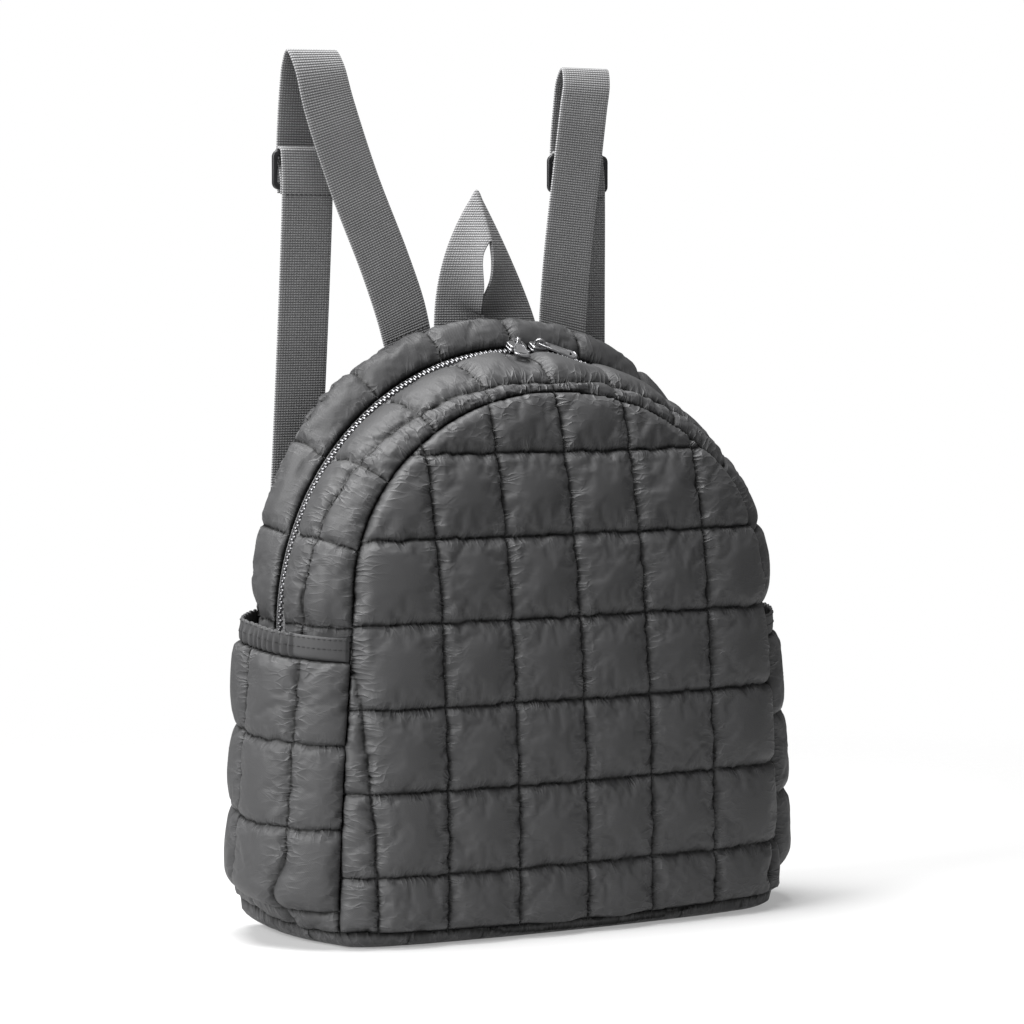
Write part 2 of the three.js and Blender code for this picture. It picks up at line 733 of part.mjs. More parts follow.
// From the foot seam up the back, round the slider's upper bar and down to the sewn end.
function lowerStrap({ hang, foot }) {
  const lean = (z) => lerp(hang, foot, (1 - z / SLIDER.topZ) ** 1.3);
  const climb = [
    { y: 65.2, z: 15.5 },
    { y: 69, z: 27 },
    { y: 69.4, z: 46 },
    { y: 66, z: 90 },
    { y: 60.5, z: 160 },
    { y: 54.5, z: 230 },
    { y: 48.4, z: 300 },
    { y: 42.6, z: 370 },
    { y: 38.8, z: 425 },
    { y: 38.3, z: 441 },
  ].map(({ y, z }) => hanging(lean(z), y, z));
  const edges = smoothEdges(climb, 22);
  const barZ = SLIDER.topZ - SLIDER.bar / 2;
  const radius = 3.2;
  const turns = 5;
  for (let k = 0; k <= turns; k += 1) {
    const angle = (Math.PI * k) / turns;
    const y = SLIDER.y - radius * Math.cos(angle);
    const z = barZ + radius * Math.sin(angle);
    edges.push({ left: vec(hang - WEBBING_WIDTH / 2, y, z), right: vec(hang + WEBBING_WIDTH / 2, y, z) });
  }
  const end = [hanging(hang, 43.2, barZ - 8), hanging(hang, 40.5, barZ - 15), hanging(hang, 40.4, barZ - 24)];
  for (const { y, lx, lz, rx, rz } of end) edges.push({ left: vec(lx, y, lz), right: vec(rx, y, rz) });
  return webbing(edges);
}

// A flat plate from an outline with openings, centred on its thickness.
function plate(outline, openings, thickness) {
  outline.holes.push(...openings);
  const geometry = new THREE.ExtrudeGeometry(outline, {
    depth: thickness,
    bevelEnabled: false,
    curveSegments: 4,
  });
  return geometry.translate(0, 0, -thickness / 2);
}

function roundedBox(width, height, radius, shape = new THREE.Shape()) {
  const [x, y] = [width / 2, height / 2];
  shape.moveTo(-x + radius, -y);
  shape.lineTo(x - radius, -y);
  shape.absarc(x - radius, -y + radius, radius, -Math.PI / 2, 0);
  shape.lineTo(x, y - radius);
  shape.absarc(x - radius, y - radius, radius, 0, Math.PI / 2);
  shape.lineTo(-x + radius, y);
  shape.absarc(-x + radius, y - radius, radius, Math.PI / 2, Math.PI);
  shape.lineTo(-x, -y + radius);
  shape.absarc(-x + radius, -y + radius, radius, Math.PI, 1.5 * Math.PI);
  return shape;
}

// Strap slider: a flat frame whose upper and lower bars stand clear of each other.
function strapSlider() {
  const { width, height, bar, thick, cheek } = SLIDER;
  const opening = roundedBox(width - 2 * cheek, height - 2 * bar, 1, new THREE.Path());
  return plate(roundedBox(width, height, 4), [opening], thick).rotateX(Math.PI / 2);
}

// Carrying loop: two flat legs side by side that turn on edge where they meet at the tip.
const HANDLE = { foot: 38, footZ: 349.4, innerZ: 353, tipZ: 436, y: 28.6, tipX: -5, tipY: 32, slit: 3.2, slitX: -8 };
const HANDLE_LEAN = 0.45;

function handleEdge(side, share) {
  const { foot, footZ, innerZ, tipZ, y, tipX, tipY, slit, slitX } = HANDLE;
  const bend = side < 0 ? 2.3 : 1.2;
  const x = lerp(side * foot, tipX, share ** bend);
  const outer = vec(x, lerp(y, tipY, share ** 2), lerp(footZ, tipZ, share));
  const gap = lerp(0.7, slit, smoothstep(share, 0.2, 0.55));
  const middle = slitX * smoothstep(share, 0, 0.6);
  const level = clamp((Math.abs(x - middle) - gap) / WEBBING_WIDTH, 0, 1);
  const drop = Math.sqrt(1 - level * level);
  const lean = HANDLE_LEAN * smoothstep(share, 0.15, 0.7);
  const across = vec(-side * level, -lean * drop, -Math.sqrt(1 - lean * lean) * drop);
  const inner = outer.clone().addScaledVector(across, WEBBING_WIDTH);
  inner.z = Math.max(inner.z, innerZ);
  return { left: outer, right: inner };
}

// One leg from foot to tip, its inner edge never dipping on the way up.
function handleLeg(side) {
  const steps = 14;
  const edges = [];
  for (let k = 0; k <= steps; k += 1) edges.push(handleEdge(side, k / steps));
  for (let k = steps - 1; k >= 0; k -= 1) {
    edges[k].right.z = Math.min(edges[k].right.z, edges[k + 1].right.z);
  }
  return edges;
}

function handleLoop() {
  const downward = handleLeg(1).reverse();
  return webbing([...handleLeg(-1), ...downward.slice(1)]);
}

// Zip sliders. The crown is a small arch over the end bar of the pull, which swings under it.
const ZIP_SLIDER = { length: 12, width: 9, thick: 3.4, lift: 0.9, crownIn: 2.2, crownOut: 3.5, leg: 0.9 };
const PULL = { length: 25, root: 6.6, tip: 10, thick: 1.4, bar: 1.4, eye: 4.4, eyeReach: 4.4, slot: 5 };
const HINGE_LIFT = 1.5;
const ZIP_SLIDERS = {
  left: { x: 1, heading: -115, dip: -5 },
  right: { x: 17, heading: -35, dip: 0 },
};

function asManifold(geometry) {
  const flat = geometry.index ? geometry.toNonIndexed() : geometry;
  const places = flat.getAttribute('position');
  const seen = new Map();
  const vertices = [];
  const triangles = [];
  for (let i = 0; i < places.count; i += 1) {
    const p = [places.getX(i), places.getY(i), places.getZ(i)].map((value) => Math.round(value * 1e4) / 1e4);
    const key = p.join(' ');
    if (!seen.has(key)) {
      seen.set(key, seen.size);
      vertices.push(...p);
    }
    triangles.push(seen.get(key));
  }
  return new wasm.Manifold(new wasm.Mesh({
    numProp: 3,
    vertProperties: new Float32Array(vertices),
    triVerts: new Uint32Array(triangles),
  }));
}

function joined(first, second) {
  const mesh = asManifold(first).add(asManifold(second)).getMesh();
  const geometry = new THREE.BufferGeometry();
  geometry.setAttribute('position', new THREE.BufferAttribute(new Float32Array(mesh.vertProperties), 3));
  geometry.setIndex(new THREE.BufferAttribute(new Uint32Array(mesh.triVerts), 1));
  geometry.computeVertexNormals();
  return geometry;
}

// Slider body with its crown turned to the heading of the pull, base at Z = 0.
function zipSlider(heading) {
  const { length, width, thick, crownIn, crownOut, leg } = ZIP_SLIDER;
  const body = plate(roundedBox(length, width, 3), [], thick).translate(0, 0, thick / 2);
  const arch = new THREE.Shape();
  const sunk = 0.6;
  arch.moveTo(crownOut, -sunk);
  arch.lineTo(crownOut, leg);
  arch.absarc(0, leg, crownOut, 0, Math.PI);
  arch.lineTo(-crownOut, -sunk);
  arch.lineTo(-crownIn, -sunk);
  arch.lineTo(-crownIn, leg);
  arch.absarc(0, leg, crownIn, Math.PI, 0, true);
  arch.lineTo(crownIn, -sunk);
  const crown = plate(arch, [], 2.6).rotateX(Math.PI / 2);
  crown.rotateZ(THREE.MathUtils.degToRad(heading)).translate(0, 0, thick);
  return joined(body, crown);
}

// Pull with its hinge at the origin, lying along +X.
function zipPull() {
  const { length, root, tip, thick, bar, eye, eyeReach, slot } = PULL;
  const start = -bar / 2;
  const outline = new THREE.Shape();
  outline.moveTo(start, -root / 2);
  outline.lineTo(length - 3, -tip / 2);
  outline.quadraticCurveTo(length + 0.5, 0, length - 3, tip / 2);
  outline.lineTo(start, root / 2);
  const eyeHole = new THREE.Path();
  eyeHole.moveTo(bar / 2, -eye / 2);
  eyeHole.lineTo(bar / 2, eye / 2);
  eyeHole.lineTo(eyeReach, eye / 2);
  eyeHole.lineTo(eyeReach, -eye / 2);
  const slotHole = new THREE.Path();
  const [from, to] = [length - 3.6 - slot / 2, length - 3];
  slotHole.moveTo(from, -tip / 2 + 2);
  slotHole.lineTo(from, tip / 2 - 2);
  slotHole.quadraticCurveTo(to, 0, from, -tip / 2 + 2);
  return plate(outline, [eyeHole, slotHole], thick);
}

function addZipSlider(name, { x, heading, dip }) {
  const length = ARCHES.zip.getLength();
  const { p, tangent, across, out } = zipFrame(0.5 + x / length);
  const seat = new THREE.Group();
  seat.applyMatrix4(new THREE.Matrix4().makeBasis(tangent, across, out));
  seat.position.copy(p).addScaledVector(out, ZIP_SLIDER.lift);
  bag.add(seat);
  addPiece(`zip_slider_${name}`, zipSlider(heading), 'nickel', seat);
  const hinge = new THREE.Group();
  hinge.position.set(0, 0, ZIP_SLIDER.thick + HINGE_LIFT);
  hinge.rotation.set(0, THREE.MathUtils.degToRad(dip), THREE.MathUtils.degToRad(heading), 'ZYX');
  seat.add(hinge);
  addPiece(`zip_pull_${name}`, zipPull(), 'nickel', hinge);
}

// Body of the bag
addPiece('front_panel', quiltedFace('front', frontDepth), 'quilt');
addPiece('back_panel', quiltedFace('back', backDepth), 'quilt');
addPiece('base_panel', basePanel(), 'quilt');
addPiece('front_gusset', gussetStrip('front'), 'quilt');
addPiece('back_gusset', gussetStrip('back'), 'quilt');

// Zip
const seat = 0.3;
addPiece('zip_tape_front', zipStrip(-ZIP_FRONT + seat, -TEETH_HALF - seat, TAPE), 'tape');
addPiece('zip_teeth', zipStrip(-TEETH_HALF, TEETH_HALF, TEETH), 'teeth');
addPiece('zip_tape_back', zipStrip(TEETH_HALF + seat, ZIP_BACK - seat, TAPE), 'tape');
for (const [name, slider] of Object.entries(ZIP_SLIDERS)) addZipSlider(name, slider);

// Sides and pockets
for (const [name, side] of [['left', -1], ['right', 1]]) {
  addPiece(`side_panel_${name}`, sidePanel(side), 'quilt');
  addPiece(`pocket_${name}`, pocketPanel(side), 'quilt');
  addPiece(`pocket_binding_${name}`, pocketBinding(side), 'quilt');
}

// Straps and carrying loop
for (const [name, strap] of Object.entries(STRAPS)) {
  addPiece(`strap_upper_${name}`, upperStrap(strap), 'webbing');
  addPiece(`strap_lower_${name}`, lowerStrap(strap), 'webbing');
  const slider = addPiece(`strap_slider_${name}`, strapSlider(), 'slider');
  slider.position.set((strap.hang + strap.drop) / 2, SLIDER.y, SLIDER.topZ - SLIDER.height / 2);
}
addPiece('handle_loop', handleLoop(), 'webbing');

export default bag;
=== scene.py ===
"""The quilted backpack's cloth, webbing, zip and metalwork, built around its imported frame."""

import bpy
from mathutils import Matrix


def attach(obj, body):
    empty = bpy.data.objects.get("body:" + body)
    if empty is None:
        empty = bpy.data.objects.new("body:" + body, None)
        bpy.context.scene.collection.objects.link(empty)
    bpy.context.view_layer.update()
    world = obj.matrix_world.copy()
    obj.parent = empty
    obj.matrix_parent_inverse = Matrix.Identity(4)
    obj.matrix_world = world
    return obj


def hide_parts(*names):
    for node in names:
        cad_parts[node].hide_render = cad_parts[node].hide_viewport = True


bl_info = {
    "name": "Quilted backpack",
    "version": (1, 0, 0),
    "blender": (4, 5, 0),
    "location": "View3D > Sidebar > Backpack",
    "description": "Builds the soft and the hard pieces of a small quilted backpack",
    "category": "Object",
}

import math

import bmesh
import bpy
import numpy as np
from bpy.props import FloatProperty, FloatVectorProperty, IntProperty, PointerProperty
from mathutils import Matrix, Vector, kdtree

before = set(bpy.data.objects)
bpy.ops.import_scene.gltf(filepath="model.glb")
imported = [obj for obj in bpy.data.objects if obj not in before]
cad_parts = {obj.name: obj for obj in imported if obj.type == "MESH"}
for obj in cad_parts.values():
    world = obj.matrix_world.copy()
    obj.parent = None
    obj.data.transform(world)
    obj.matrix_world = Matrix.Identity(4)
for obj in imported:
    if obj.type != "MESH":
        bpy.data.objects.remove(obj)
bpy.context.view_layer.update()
MM = 0.001

# The three arched seams, in millimetres: half width at the spring line and at the foot, heights of the
# spring line and the top, roundness of the arch, and depth at the foot and at the top.
SEAMS = {
    "front": dict(half=146, foot=157, spring=200, top=316, round=2, foot_y=-51, top_y=-41, lean=4),
    "zip": dict(half=166, foot=166, spring=180, top=340, round=2, foot_y=0, top_y=0, lean=1),
    "back": dict(half=154, foot=158, spring=205, top=352, round=2.25, foot_y=58, top_y=27, lean=1),
}
REAR = {"front": 0, "back": 1}
HUB_Z = 175
SIDE_TOP = 160
FOOT_BOW = 6
FOOT_Z, FOOT_CORNER_RISE, FOOT_REAR_RISE = 8, 2, 10
FRONT_BELLY, BACK_BELLY = 23.5, 6
ROUND_BELLY = 0.38
WALL = 3
POCKET_WALL = 2.5
LAYER_GAP = 0.4

# Quilting of the front and the back: spacing of the lines, height of the first row, reach of the lattice and cells
# of it between two lines, and how far the outer columns lean at the foot and higher up, and from where outwards.
QUILT_PITCH = 48
FIRST_ROW = 41
FACE_HALF, FACE_HEIGHT = 168, 364.1
FACE_CELLS = {"front": 36, "back": 20}
FACE_SEED = {"front": 2, "back": 40}
COLUMN_LEAN = {"left": (4.6, -3.8), "right": (0, -9)}
COLUMN_REACH = (96, 144)

# Filling of any cell: how far in its crown rises and how wide it varies, spacing, patches and reach of the creases
# beside a stitch line, how near to the line the simulation holds the cloth, and the cloth's settings.
CROWN_REACH, CROWN_PATCH = 20, 31
FINE_CREASE, WIDE_CREASE, CREASE_PATCH, CREASE_REACH, CREASE_START = 2.9, 5.4, 13, 4.6, 0.9
HELD_REACH = 0.6
CLOTH = dict(quality=5, mass=0.1, tension_stiffness=15, compression_stiffness=15, shear_stiffness=6,
             bending_stiffness=0.03, use_pressure=True, shrink_min=-0.025)

# Base: spacing of its lattice, half width, and depth of its front and rear.
BASE_STEP, BASE_HALF, BASE_FRONT, BASE_REAR = 2.0, 172, -84, 76

# Gussets: pairs are at the top of the arch and at its ends.
GUSSET_PITCH = 50
GUSSET_STEP = 1.45
GUSSET_CELLS = (20, 24)
GUSSET_BOW = {"front": (5, 9), "back": (7, 4)}
GUSSET_LINE = {"front": (0.12, 0.7), "back": (0.18, 0.18)}
GUSSET_FILL = {"front": 0.72, "back": 0.92}
GUSSET_ZIP_FILL = {"front": 1, "back": 0.5}
GUSSET_SLACK = 3.4
GUSSET_SEED = {"front": 8, "back": 14}
SLACK_SEED = {"front": 51, "back": 57}
ZIP_HEM = {"front": -7, "back": 4}

# Pockets: pairs are at the front edge and at the rear edge.
POCKET_TOPS = (164, 175)
POCKET_ROW = 47.5
POCKET_ARC = 120
POCKET_COLUMNS = (0, 23, 72, 120)
POCKET_STEP = 1.35
POCKET_FOOT_FULL, POCKET_FULL, POCKET_MOUTH_FULL = 6, 31, 28
POCKET_GAPE = 7
POCKET_DRIFT = 0.17
POCKET_FILL = 0.8
POCKET_SEED = {"left": 21, "right": 27}
BINDING_HEIGHT = 14
BINDING_THICK = 2.4
BINDING_HEM = 5.2
BINDING_PLAIN = 0.235
SIDE_BULGE = 14
SIDES = {"left": -1, "right": 1}

# Webbing paths: rows of depth, left edge X and Z, right edge X and Z. Then rows of depth and height: up the back, and
# from the slider's bar, from the fold at the top and from the slider's top.
STRAP_RUNS = {
    "left": dict(hang=-121, drop=-118.8, foot=-121, upper=[
        (28.4, -73, 339.6, -40, 349.2), (28.2, -78.5, 357, -46, 371), (28, -90.1, 386.2, -57.9, 399.8),
        (28, -111, 432, -78.8, 445), (28.6, -129, 480, -95.4, 489), (31, -134.5, 506, -100.5, 509),
        (36.5, -136.5, 516, -102, 516.4)]),
    "right": dict(hang=77.2, drop=78.4, foot=109, upper=[
        (28.4, 38.6, 349.3, 73, 339.6), (28.2, 39.4, 366, 74, 361), (28, 42.6, 401.5, 77.5, 398.5),
        (28, 48.6, 446, 83.5, 443), (28.6, 54.6, 486, 89.5, 484), (31, 58.6, 502, 93.5, 501),
        (36.5, 61, 510.4, 96, 510.2)]),
}
STRAP_CLIMB = [(65.2, 15.5), (69, 27), (69.4, 46), (66, 90), (60.5, 160), (54.5, 230), (48.4, 300),
               (42.6, 370), (38.8, 425), (38.3, 441)]
STRAP_TAIL = [(43.2, 8), (40.5, 15), (40.4, 24)]
STRAP_FALL, STRAP_END = [(41.5, -7), (44.6, -22)], [(47.9, 4), (47.9, -12), (47, -25)]
STRAP_TURN = 3.2
TACK_Z = 431
WEB_WIDTH = 35
STRAP_FOOT_ZONE, STRAP_FOOT_PRESS, STRAP_FOOT_REACH = (14, 30), 0.88, 5
SLIDER_TOP, SLIDER_Y, SLIDER_BAR = 458, 42.8, 3.4
SLIDER_WIDTH, SLIDER_HEIGHT, SLIDER_THICK, SLIDER_SIDE = 45, 23, 2.4, 3.2
HANDLE = dict(foot=38, foot_z=349.4, inner_z=352.2, tip_z=436, y=28.6, tip_x=-5, tip_y=32, slit=3.6, slit_x=-8,
              spread=1.08)

# Zip: edges of its strips across and out of the bag with the solids they stand for, the teeth, and the sliders.
ZIP_STRIPS = {
    "zip_tape_front_weave": ((-6.7, -2.9, -2.4, -1.2), ["zip_tape_front"]),
    "zip_tape_back_weave": ((2.9, 3.7, -2.4, -1.2), ["zip_tape_back"]),
    "zip_core": ((-2.5, 2.5, -2.5, -1.7), []),
}
TOOTH_SIZE, TOOTH_SHIFT = (0.0011, 0.0029, 0.0021), 0.0013
ZIP_SLIDERS = {"left": dict(x=1, heading=-115, dip=-5), "right": dict(x=17, heading=-35, dip=0)}
SLIDER_LIFT, SLIDER_PLATE, HINGE_LIFT = 0.9, 3.4, 1.5
ZIP_BODY, ZIP_WAIST = (12, 9, 3), (10.4, 7.2, 2.6)
ZIP_ARCH = dict(inner=2.2, outer=3.5, leg=0.9, sunk=0.6, width=2.6)

# Pulls: start, length, and width at the root and at the tip.
PULL_LENGTH = 25
PULL_OUTLINE, PULL_FIELD, PULL_WEB = (-0.7, PULL_LENGTH, 6.6, 10), (6.2, 23.9, 4.6, 7.8), (6.0, 24.2, 4.9, 8.2)
PULL_EYE = [(0.7, -2.2), (4.4, -2.2), (4.4, 2.2), (0.7, 2.2)]
PULL_SLOT = [(18.9, -3), (22, 0), (18.9, 3)]

# Studio: lamps with place, size and energy, and the photo's camera.
LAMPS = {"key": ((-2.25, -0.4, 1.35), 1.2, 92), "top": ((-0.4, 0.2, 2.4), 1.4, 130)}
LAMP_TARGET = Vector((0, 0, 0.18))
FLOOR_HALF, FLOOR_FADE, FLOOR_GLOW = 60.0, (0.55, 1.15), 0.30
WORLD_LIGHT, WORLD_SEEN = 0.25, 1.0
CAMERA_AZIMUTH, CAMERA_ELEVATION = math.radians(-35.9), math.radians(5.02)
CAMERA_TARGET = Vector((0, -0.067, 0.161))
CAMERA_FOCAL, CAMERA_ASIDE, CAMERA_BELOW, CAMERA_DISTANCE = 4.3355, 0.01517, 0.03268, 2.6072
SENSOR = 36


def length_property(name, description, default):
    return FloatProperty(name=name, description=description, default=default, unit="LENGTH")


def colour_property(name, description, default):
    return FloatVectorProperty(name=name, description=description, subtype="COLOR", size=3, default=default)


class QuiltSizes(bpy.types.PropertyGroup):
    """Sizes of the quilting and its stitches."""

    puff: length_property("Puff", "Height of a filled cell", 0.0062)
    grip: length_property("Grip", "Width over which a cell rises from its stitches", 0.0078)
    pucker: length_property("Pucker", "Height of the small creases along a stitch line", 0.0017)
    stitch: length_property("Stitch", "Spacing of the stitches", 0.0036)
    thread: length_property("Thread", "Thickness of the thread", 0.0005)
    pressure: FloatProperty(name="Pressure", description="Pressure of the filling in the simulation", default=11.0)
    frames: IntProperty(name="Frames", description="Steps of the cloth simulation", default=14)


class TrimSizes(bpy.types.PropertyGroup):
    """Sizes of the webbing and the zip."""

    webbing: length_property("Webbing width", "Width of the straps", 0.035)
    webbing_thick: length_property("Webbing thickness", "Thickness of the straps", 0.0016)
    tooth_pitch: length_property("Tooth pitch", "Spacing of the zip's teeth", 0.00175)
    gather: length_property("Gather", "Spacing of the gathers in a pocket's mouth", 0.0052)


class Colours(bpy.types.PropertyGroup):
    """Colours of the finishes."""

    nylon: colour_property("Nylon", "Quilted cloth", (0.049, 0.049, 0.0502))
    webbing: colour_property("Webbing", "Straps and carrying loop", (0.195, 0.195, 0.198))
    tape: colour_property("Tape", "Zip tape", (0.13, 0.13, 0.133))
    teeth: colour_property("Teeth", "Zip teeth", (0.24, 0.24, 0.248))
    nickel: colour_property("Nickel", "Zip sliders and pulls", (0.34, 0.34, 0.348))
    plastic: colour_property("Plastic", "Strap sliders", (0.012, 0.012, 0.013))
    floor: colour_property("Floor", "Studio floor", (0.35, 0.35, 0.35))


def plug(tree, socket, value):
    """Link a wire or another socket to a socket, or set a plain value on it."""
    source = value.socket if isinstance(value, Wire) else value
    if isinstance(source, bpy.types.NodeSocket):
        tree.links.new(source, socket)
    else:
        socket.default_value = value


def add_node(tree, kind, settings=None, sockets=None):
    """A node with its settings made and its inputs plugged."""
    made = tree.nodes.new(kind)
    for key, value in (settings or {}).items():
        setattr(made, key, value)
    for key, value in (sockets or {}).items():
        plug(tree, made.inputs[key], value)
    return made


class Wire:
    """A shader socket in an expression: each operator adds a Math node."""

    def __init__(self, tree, socket):
        self.tree, self.socket = tree, socket

    def math(self, operation, *values):
        node = add_node(self.tree, "ShaderNodeMath", {"operation": operation}, dict(enumerate(values)))
        return Wire(self.tree, node.outputs[0])

    def __add__(self, other):
        return self.math("ADD", self, other)

    __radd__ = __add__

    def __sub__(self, other):
        return self.math("SUBTRACT", self, other)

    def __rsub__(self, other):
        return self.math("SUBTRACT", other, self)

    def __mul__(self, other):
        return self.math("MULTIPLY", self, other)

    __rmul__ = __mul__

    def fade(self, reach):
        """One at zero, falling away over the reach."""
        return self.math("EXPONENT", self * (-1 / reach))

    def wave(self, pitch):
        """A sine wave of a pitch."""
        return self.math("SINE", self * (2 * math.pi / pitch))


class Finish:
    """A material with its nodes."""

    def __init__(self, name):
        self.material = bpy.data.materials.new(name)
        self.material.use_nodes = True
        self.tree = self.material.node_tree
        self.shader = self.tree.nodes["Principled BSDF"]

    def place(self, source):
        """Texture coordinates of a kind."""
        return self.node("ShaderNodeTexCoord", None, None, source)

    def node(self, kind, settings=None, sockets=None, output=0):
        return Wire(self.tree, add_node(self.tree, kind, settings, sockets).outputs[output])

    def set(self, **sockets):
        for key, value in sockets.items():
            plug(self.tree, self.shader.inputs[key.replace("_", " ")], value)
        return self.material

    def split(self, vector):
        node = add_node(self.tree, "ShaderNodeSeparateXYZ", None, {0: vector})
        return [Wire(self.tree, out) for out in node.outputs]

    def join(self, x, y, z=0.0):
        return self.node("ShaderNodeCombineXYZ", None, {0: x, 1: y, 2: z})

    def noise(self, vector, scale, detail=2.0):
        return self.node("ShaderNodeTexNoise", None, {"Vector": vector, "Scale": scale, "Detail": detail}, "Fac")

    def folds(self, vector):
        """Narrow crests between hollows scattered at random."""
        away = self.node("ShaderNodeTexVoronoi", {"feature": "DISTANCE_TO_EDGE"}, {"Vector": vector, "Scale": 1.0},
                         "Distance")
        return away.fade(0.15)

    def shade(self, colour, amount):
        """The colour scaled by an amount that varies over the surface."""
        grey = self.node("ShaderNodeCombineColor", None, {0: amount, 1: amount, 2: amount})
        return self.node("ShaderNodeMix", {"data_type": "RGBA", "blend_type": "MULTIPLY"},
                         {"Factor": 1.0, 6: (*colour, 1.0), 7: grey}, 2)

    def bump(self, height, distance):
        return self.node("ShaderNodeBump", None, {"Height": height, "Distance": distance, "Strength": 1.0})


def mix(a, b, share):
    return a + (b - a) * share


def ease(value, low, high):
    t = np.clip((np.asarray(value, float) - low) / (high - low), 0, 1)
    return t * t * (3 - 2 * t)


def unit(vectors):
    return vectors / np.maximum(np.linalg.norm(vectors, axis=-1, keepdims=True), 1e-9)


def soft_noise(x, y, seed):
    """Smooth noise between -1 and 1 over a plane, the same in every run."""
    x, y = np.broadcast_arrays(np.asarray(x, float), np.asarray(y, float))
    i, j = np.floor(x), np.floor(y)
    a, b = x - i, y - j
    a, b = a * a * (3 - 2 * a), b * b * (3 - 2 * b)

    def corner(p, q):
        s = np.sin(p * 127.1 + q * 311.7 + seed * 74.7) * 43758.5453
        return 2 * (s - np.floor(s)) - 1

    low = mix(corner(i, j), corner(i + 1, j), a)
    high = mix(corner(i, j + 1), corner(i + 1, j + 1), a)
    return mix(low, high, b)


def nearest(values, place):
    """Number of the value nearest to a place."""
    return int(np.abs(values - place).argmin())


def run_along(line):
    """Distance along a line of points, at each of them."""
    return np.concatenate([[0], np.cumsum(np.linalg.norm(np.diff(line, axis=0), axis=1))])


# Outline and depth of the seams, as in the solids.
def half_width(seam, z):
    s = SEAMS[seam]
    z = np.asarray(z, float)
    low = s["half"] + (s["foot"] - s["half"]) * np.sin(math.pi / 2 * (1 - z / s["spring"]))
    rise = np.clip((z - s["spring"]) / (s["top"] - s["spring"]), 0, 1)
    high = s["half"] * (1 - rise ** s["round"]) ** (1 / s["round"])
    return np.where(z < s["spring"], low, high)


def seam_depth(seam, z):
    s = SEAMS[seam]
    return s["foot_y"] + (s["top_y"] - s["foot_y"]) * (np.maximum(z, 0) / s["top"]) ** s["lean"]


def seam_points(seam, side, z):
    return np.stack([side * half_width(seam, z), seam_depth(seam, z), z], -1)


def arch_points(seam, shares):
    """Points at shares of the arch's length, from its left end over the top to its right end."""
    s = SEAMS[seam]
    rise = np.linspace(SIDE_TOP, s["spring"], 60)[:-1]
    turn = np.linspace(0, math.pi, 1200)
    cos = np.cos(turn)
    z = s["spring"] + (s["top"] - s["spring"]) * np.sin(turn).clip(0) ** (2 / s["round"])
    x = -s["half"] * np.sign(cos) * np.abs(cos) ** (2 / s["round"])
    line = np.concatenate([seam_points(seam, -1, rise), np.stack([x, seam_depth(seam, z), z], -1),
                           seam_points(seam, 1, rise)[::-1]])
    along = run_along(line)
    return np.stack([np.interp(np.asarray(shares) * along[-1], along, line[:, k]) for k in range(3)], -1)


def front_depth(x, z):
    across = np.clip(np.abs(x) / np.maximum(1, half_width("front", z)), 0, 1)
    belly = FRONT_BELLY * (1 - (np.maximum(z, 0) / SEAMS["front"]["top"]) ** 2.2)
    return seam_depth("front", z) - belly * (ROUND_BELLY * (1 - across ** 2) + (1 - ROUND_BELLY) * (1 - across ** 12))


def back_depth(x, z):
    across = np.clip(np.abs(x) / np.maximum(1, half_width("back", z)), 0, 1)
    belly = BACK_BELLY * (1 - (np.maximum(z, 0) / SEAMS["back"]["top"]) ** 3)
    return seam_depth("back", z) + belly * (1 - across ** 6)


FACE_DEPTH = {"front": front_depth, "back": back_depth}


def foot_height(corner, rear):
    """Height of the foot seam: from the middle to a corner, and from the front to the rear."""
    return FOOT_Z + FOOT_CORNER_RISE * corner ** 2 + FOOT_REAR_RISE * rear ** 2 * corner ** 4


def foot_corner(name, side):
    return seam_points(name, side, np.float64(foot_height(1, REAR[name])))


def foot_edge(name, count):
    """Foot seam along the front or the back, from the left corner to the right one."""
    corner = np.linspace(-1, 1, count)
    x = corner * foot_corner(name, 1)[0]
    z = foot_height(corner, REAR[name])
    return np.stack([x, FACE_DEPTH[name](x, z), z], -1)


def foot_side(side, share):
    share = np.asarray(share, float)
    p = mix(foot_corner("front", side), foot_corner("back", side), share[..., None])
    p[..., 0] += side * FOOT_BOW * np.sin(math.pi * share)
    p[..., 2] = foot_height(1, share)
    return p


def into_side(p):
    inward = np.stack([-p[..., 0], 0 * p[..., 0], np.minimum(HUB_Z, p[..., 2]) - p[..., 2]], -1)
    return unit(inward)


INTO = {"front": np.array([0, 1.0, 0]), "back": np.array([0, -1.0, 0]), "base": np.array([0, 0, 1.0])}


def pocket_top(share):
    return mix(*POCKET_TOPS, share)


def mitred(p, share, height):
    """Directions into a side, turned in as well at its foot and along its front and rear edges."""
    into = into_side(p) + INTO["base"] * (height == 0)[..., None]
    return into + INTO["front"] * (share == 0)[..., None] + INTO["back"] * (share == 1)[..., None]


def pocket_tuck(name, z):
    """How far a gusset's edge is tucked in under the pocket's edge."""
    rim = pocket_top(REAR[name]) + BINDING_HEIGHT
    return (POCKET_WALL + LAYER_GAP) * (1 - ease(z, rim + 3, rim + 18))


